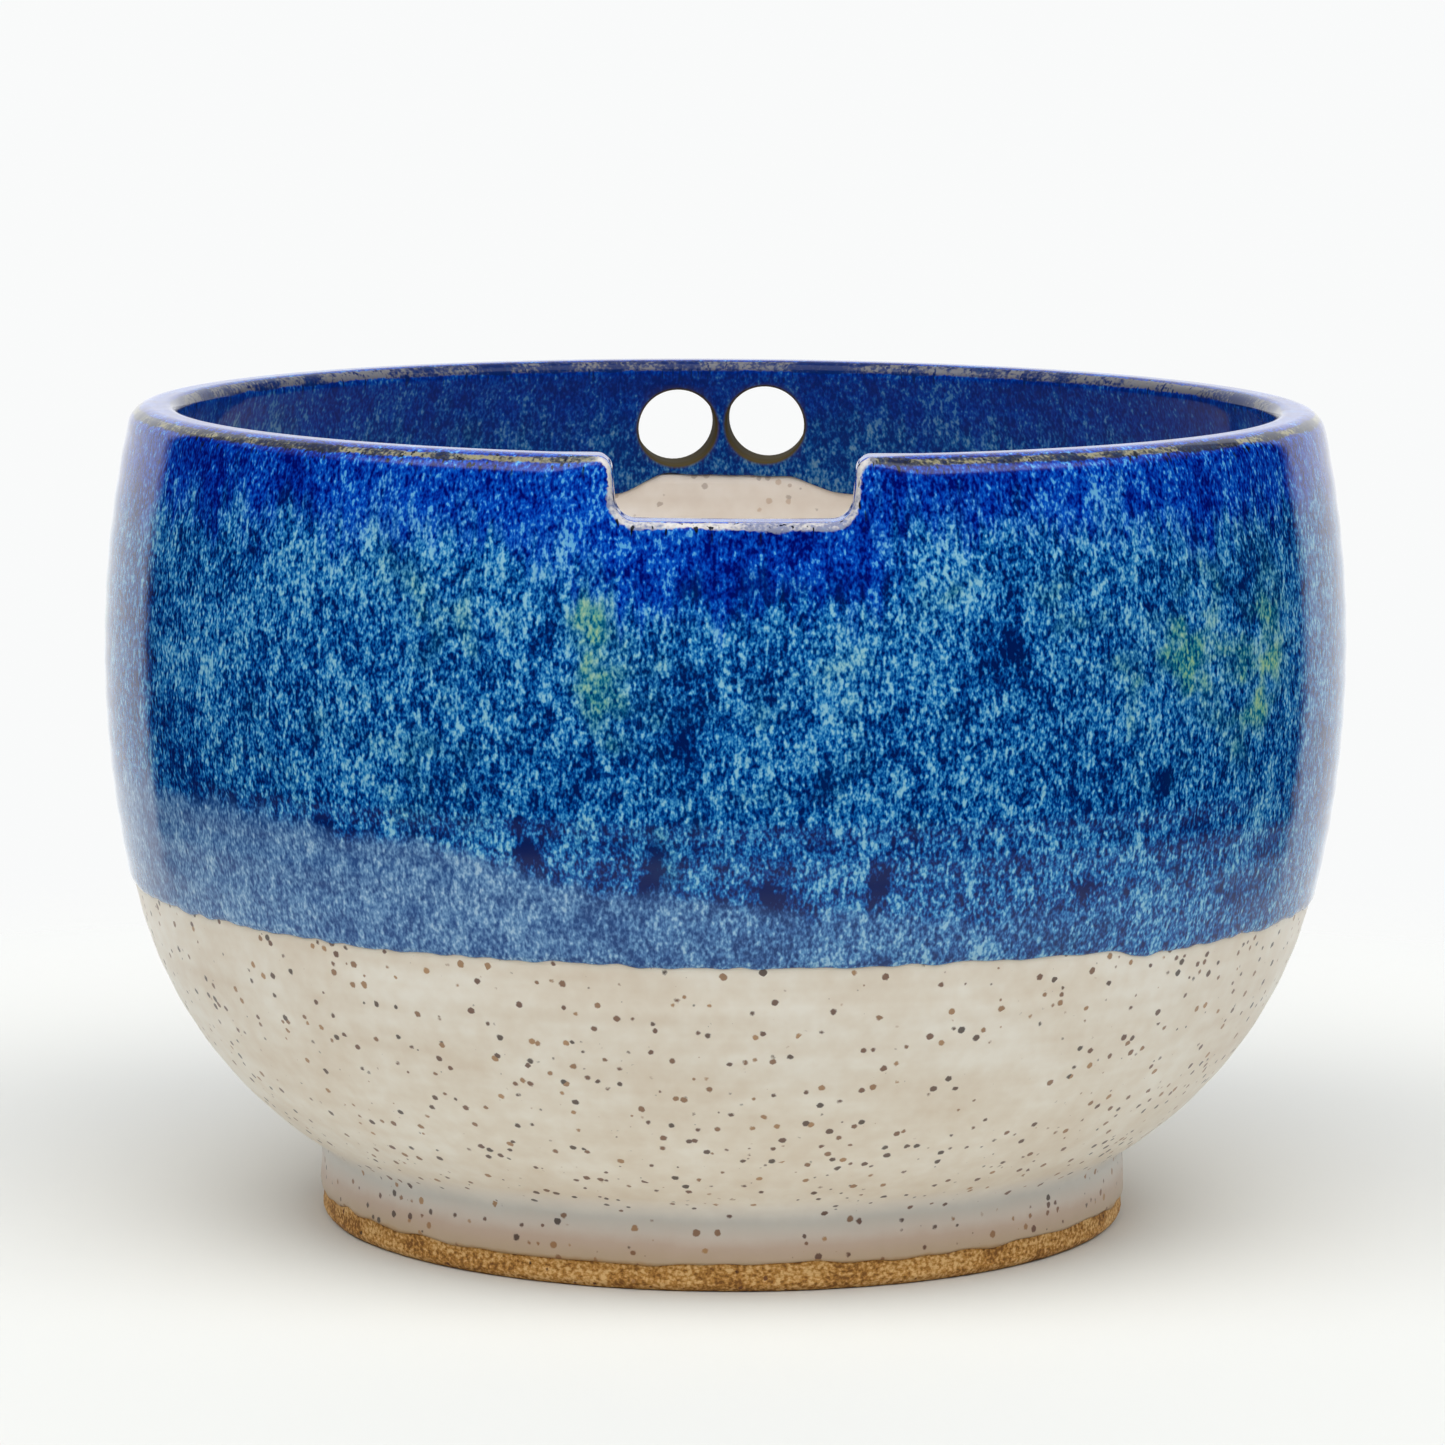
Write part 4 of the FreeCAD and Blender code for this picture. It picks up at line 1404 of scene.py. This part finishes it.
        # Grazing light off the notch's floor and the far inside wall is weaker than off the outside.
        hidden = add(tree, "Math", {0: notch, 1: inner}, operation="MAXIMUM")
        dulled = {"Value": hidden, "To Min": self.specular, "To Max": self.hidden_gloss * self.specular}
        tree.links.new(add(tree, "MapRange", dulled), shader.inputs["Specular IOR Level"])
        wavy = {"Height": layered(tree, self.skin), "Strength": 0.5, "Distance": 0.06 * MM}
        tree.links.new(add(tree, "Bump", wavy), shader.inputs["Normal"])
        return material


@dataclass(frozen=True)
class Speckle:
    """Iron specks that burn through from the clay: one at most in each cell of their spacing.

    The share of cells with a speck, and the least and greatest radius as a part of a cell, follow.
    """

    cell: float = 1.25
    share: float = 0.68
    least: float = 0.05
    most: float = 0.40

    def over(self, tree: Tree, colour: Socket, strength: float = 1.0) -> Socket:
        """Puts the specks over a colour.

        A cell's random colour says whether it has a speck, how large it is and how dark.

        Args:
            tree: The material's nodes.
            colour: The colour under them.
            strength: How strongly they show.

        Returns:
            The colour with specks.
        """
        coords = add(tree, "TexCoord", out="Object")
        place = add(tree, "Mapping", {"Vector": coords, "Scale": (1 / (self.cell * MM),) * 3})
        cells = add(tree, "TexVoronoi", {"Vector": place, "Scale": 1.0}).node
        parts = add(tree, "SeparateColor", {0: cells.outputs["Color"]}).node
        ragged = layered(tree, (Grain(0.35, 0.35, 0.22, 1.0),))
        distance = add(tree, "Math", {0: cells.outputs["Distance"], 1: ragged}, operation="ADD")
        # The ragged noise has a middle of one half, so the sizes are raised by as much.
        sizes = {"Value": parts.outputs[1], "From Min": 0.2, "To Min": self.least + 0.5}
        sizes["To Max"] = self.most + 0.5
        size = add(tree, "MapRange", sizes, interpolation_type="SMOOTHERSTEP")
        within = add(tree, "Math", {0: size, 1: distance}, operation="SUBTRACT")
        speck = add(tree, "MapRange", stretch(within, (0.0, 0.10)))
        chosen = add(tree, "Math", {0: parts.outputs[0], 1: 1 - self.share}, operation="GREATER_THAN")
        speck = add(tree, "Math", {0: speck, 1: chosen}, operation="MULTIPLY")
        speck = add(tree, "Math", {0: speck, 1: strength}, operation="MULTIPLY")
        rust = {0.0: "#29130b", 0.5: "#63331b", 1.0: "#b0824f"}
        tint = add(tree, "ValToRGB", {0: parts.outputs[2]}, rust)
        return add(tree, "Mix", {0: speck, 6: colour, 7: tint}, out=2, data_type="RGBA")


class Place(Enum):
    """Where a white coat or bare clay is, which decides its tint."""

    OUTSIDE = "outside"
    LINER = "liner"
    BOWL = "bowl"
    FOOT = "foot"


@dataclass(frozen=True)
class SpeckledWhite:
    """Cream-white tin and zircon stoneware glaze, dipped and fired satin, over speckled clay.

    The eye gets a warm, faintly cloudy white with brown iron specks burnt through it, faint level
    rings where throwing marks thin it, and pink-grey where it thins to nothing on the foot.
    """

    place: Place
    ior: float = 1.5
    roughness: float = 0.32
    cloud: tuple[Grain, ...] = (Grain(14.0, 9.0, 0.8, 2.0), Grain(2.2, 2.2, 0.5, 2.0))
    rings: tuple[Grain, ...] = (Grain(60.0, 2.4, 1.0, 2.0),)
    # Between which heights the coat thickens on the foot, and how far the clouds shift them.
    thins_mm: tuple[float, float] = (3.8, 13.8)
    thins_wander_mm: float = 1.6

    @property
    def tints(self) -> dict[float, str]:
        """The white where it is thin, usual and thick: creamier outside, and greyer on the liner."""
        outside, liner = ("#e6d6c0", "#f0e5d3", "#f8f1e3"), ("#dfd3c6", "#e8dfd4", "#eee7df")
        return dict(zip((0.45, 0.75, 0.99), outside if self.place is Place.OUTSIDE else liner))

    def on_the_foot(self, tree: Tree, colour: Socket, cloud: Socket) -> Socket:
        """Lets the clay show through in bands where the coat thins towards the foot's wiped edge.

        Args:
            tree: The material's nodes.
            colour: The white so far.
            cloud: The noise of the clouds.

        Returns:
            The colour with the foot's bands.
        """
        height = add(tree, "SeparateXYZ", {0: add(tree, "TexCoord", out="Object")}, out=2)
        shifted = {0: cloud, 1: self.thins_wander_mm * MM, 2: height}
        uneven = add(tree, "Math", shifted, operation="MULTIPLY_ADD")
        low, high = self.thins_mm
        share = add(tree, "MapRange", stretch(uneven, (low * MM, high * MM)))
        bands = {0.0: "#a9824f", 0.06: "#bca488", 0.25: "#c9b2a0", 0.37: "#d7cabe"}
        bands |= {0.52: "#ddd8d0", 0.9: "#ffffff"}
        foot = add(tree, "ValToRGB", {0: share}, bands)
        fade = add(tree, "MapRange", stretch(share, (0.85, 0.55)))
        return add(tree, "Mix", {0: fade, 6: colour, 7: foot}, out=2, data_type="RGBA")

    def make(self) -> bpy.types.Material:
        """Makes the material.

        Returns:
            The finish.
        """
        outside = self.place is Place.OUTSIDE
        material, tree, shader = new_finish("speckled_white_satin_glaze_" + self.place.value, self.ior)
        cloud, rings = layered(tree, self.cloud), layered(tree, self.rings)
        both = add(tree, "Math", {0: rings, 1: 0.5, 2: cloud}, operation="MULTIPLY_ADD")
        colour = add(tree, "ValToRGB", {0: both}, self.tints)
        if outside:
            colour = self.on_the_foot(tree, colour, cloud)
        tree.links.new(Speckle().over(tree, colour, 0.9 if outside else 0.4), shader.inputs["Base Color"])
        shader.inputs["Roughness"].default_value = self.roughness
        wavy = add(tree, "Bump", {"Height": both, "Strength": 0.5, "Distance": 0.05 * MM})
        tree.links.new(wavy, shader.inputs["Normal"])
        return material


@dataclass(frozen=True)
class ToastedClay:
    """Bare speckled stoneware, wiped and fired: dry, toasted brown where it was left unglazed.

    The eye gets a dull sandy brown, darker in the grog's pits, with fine iron specks.
    """

    place: Place
    ior: float = 1.5
    roughness: float = 0.85
    grog: tuple[Grain, ...] = (Grain(0.5, 0.4, 0.9, 2.0), Grain(5.0, 2.5, 0.5, 2.0))

    def make(self) -> bpy.types.Material:
        """Makes the material.

        Returns:
            The finish.
        """
        material, tree, shader = new_finish("toasted_stoneware_clay_" + self.place.value, self.ior)
        grog = layered(tree, self.grog)
        colour = add(tree, "ValToRGB", {0: grog}, {0.34: "#80521e", 0.5: "#bd8840", 0.66: "#e0b87c"})
        specks = Speckle(cell=1.1, share=0.5, most=0.3)
        tree.links.new(specks.over(tree, colour), shader.inputs["Base Color"])
        shader.inputs["Roughness"].default_value = self.roughness
        gritty = add(tree, "Bump", {"Height": grog, "Strength": 0.8, "Distance": 0.12 * MM})
        tree.links.new(gritty, shader.inputs["Normal"])
        return material


@dataclass(frozen=True)
class Studio:
    """A pale floor that fades out into a white surround, with soft light from above and behind.

    The surround is brightest high in front, bright above and behind, and dark low in front, so that
    the gloss shows pale bands down the pot's sides and deep colour between them. Each edge of a
    bright part is a pair of shares of the way up, or of the way to the back.
    """

    floor_radius: float = 0.55
    floor_fade: tuple[float, float] = (0.13, 0.28)
    eye: tuple[float, float, float] = (-0.00031, -0.7682, 0.1636)
    pitch: float = math.radians(-7.70)
    roll: float = math.radians(0.351)
    lens: float = 159.02
    sensor: float = 36.0
    sky: float = 0.55
    backdrop: float = 1.15
    key: float = 3.6
    gloom: float = 0.01
    sky_edge: tuple[float, float] = (0.38, 0.64)
    backdrop_edge: tuple[float, float] = (0.64, 0.72)
    key_edge: tuple[float, float] = (0.50, 0.64)
    key_back: tuple[float, float] = (0.15, -0.25)
    seen_white: float = 0.975

    def lay_floor(self) -> None:
        """Makes the floor: a disc of rings, whose colour fades into the surround."""
        rings = np.linspace(0.002, self.floor_radius, 24)[:, None]
        bearing = np.linspace(0, FULL_TURN, 96, endpoint=False)
        across, ahead = rings * np.sin(bearing), -rings * np.cos(bearing)
        points = np.stack(np.broadcast_arrays(across, ahead, 0.0), -1)
        shell = Shell()
        numbers = shell.add_points(points / MM)
        shell.add_quads(numbers, turned=True)
        shell.add_cap(numbers[0], (0.0, 0.0, 0.0))
        floor = shell.build("studio_floor")
        material = bpy.data.materials.new("matt_white_board")
        material.use_nodes = True
        tree = material.node_tree
        tree.nodes.clear()
        here = add(tree, "TexCoord", out="Object")
        away = add(tree, "VectorMath", {0: here}, out="Value", operation="LENGTH")
        fade = add(tree, "MapRange", stretch(away, self.floor_fade), interpolation_type="SMOOTHSTEP")
        board = add(tree, "BsdfDiffuse", {"Color": linear("#dcdcd9")})
        shader = add(tree, "MixShader", {0: fade, 1: board, 2: add(tree, "BsdfTransparent")})
        tree.links.new(shader, tree.nodes.new("ShaderNodeOutputMaterial").inputs["Surface"])
        floor.data.materials.append(material)

    def light(self) -> None:
        """Lights the scene with the surround alone: brightness by direction, white to the camera."""
        world = bpy.data.worlds.new("soft_studio")
        bpy.context.scene.world = world
        world.use_nodes = True
        tree = world.node_tree
        tree.nodes.clear()
        parts = add(tree, "SeparateXYZ", {0: add(tree, "TexCoord", out="Generated")}).node
        height, depth = parts.outputs[2], parts.outputs[1]
        # The large soft light hangs high in front of the pot, out of what its upright walls mirror.
        stretches = (
            stretch(height, self.sky_edge, self.sky),
            stretch(depth, self.backdrop_edge, self.backdrop),
            stretch(height, self.key_edge, self.key),
            stretch(depth, self.key_back),
        )
        above, behind, high, ahead = (
            add(tree, "MapRange", here, interpolation_type="SMOOTHSTEP") for here in stretches
        )
        key = add(tree, "Math", {0: high, 1: ahead}, operation="MULTIPLY")
        bright = add(tree, "Math", {0: above, 1: behind}, operation="MAXIMUM")
        bright = add(tree, "Math", {0: bright, 1: key}, operation="MAXIMUM")
        bright = add(tree, "Math", {0: bright, 1: self.gloom}, operation="MAXIMUM")
        seen = add(tree, "LightPath", out="Is Camera Ray")
        strength = add(tree, "Mix", {0: seen, 2: bright, 3: self.seen_white}, data_type="FLOAT")
        light = add(tree, "Background", {"Color": linear("#fcfdfd"), "Strength": strength})
        tree.links.new(light, tree.nodes.new("ShaderNodeOutputWorld").inputs["Surface"])

    def set_camera(self) -> None:
        """Sets up the camera a little above the rim, looking down at the notch's side of the pot."""
        camera = bpy.data.objects.new("camera", bpy.data.cameras.new("camera"))
        bpy.context.scene.collection.objects.link(camera)
        aim = Euler((math.pi / 2 + self.pitch, 0, 0)).to_matrix() @ Matrix.Rotation(self.roll, 3, "Z")
        camera.matrix_world = Matrix.Translation(self.eye) @ aim.to_4x4()
        camera.data.lens, camera.data.sensor_width = self.lens, self.sensor
        camera.data.clip_start, camera.data.clip_end = 0.01, 10
        bpy.context.scene.camera = camera

    def set_up(self) -> None:
        """Lays the floor, lights it and sets up the camera, with plain tone mapping."""
        self.lay_floor()
        self.light()
        self.set_camera()
        bpy.context.scene.view_settings.view_transform = "Standard"


@dataclass(frozen=True)
class YarnBowl:
    """The whole pot: each piece, the node it stands for, its slot and its finish."""

    def pieces(self) -> list[tuple[Any, str, str, Any]]:
        """The pieces in the order in which a potter makes them.

        Returns:
            For each, what builds it, the node it stands for, its slot and its finish.
        """
        return [
            (ThrownBowl(), "thrown_bowl", "stoneware_bowl", ToastedClay(Place.BOWL)),
            (FootRing(), "foot_ring", "stoneware_foot", ToastedClay(Place.FOOT)),
            (WhiteOutside(), "white_glaze_outside", "cream_glaze_outside", SpeckledWhite(Place.OUTSIDE)),
            (Liner(), "white_glaze_inside", "cream_glaze_inside", SpeckledWhite(Place.LINER)),
            (BlueGlaze(), "blue_glaze", "rutile_blue_glaze", FloatingBlue()),
        ]

    def make(self) -> None:
        """Builds and dresses every piece and hands it to the frame."""
        for maker, node, slot, finish in self.pieces():
            piece = maker.build()
            piece.data.materials.append(finish.make())
            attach(piece, "root")
            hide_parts(node)
            LOG.info("%s stands for %s", piece.name, node)


def main() -> None:
    """Makes the pot and the studio."""
    logging.basicConfig(level=logging.INFO, format="%(name)s: %(message)s")
    YarnBowl().make()
    Studio().set_up()
    bpy.context.view_layer.update()


if __name__ == "__main__":
    main()
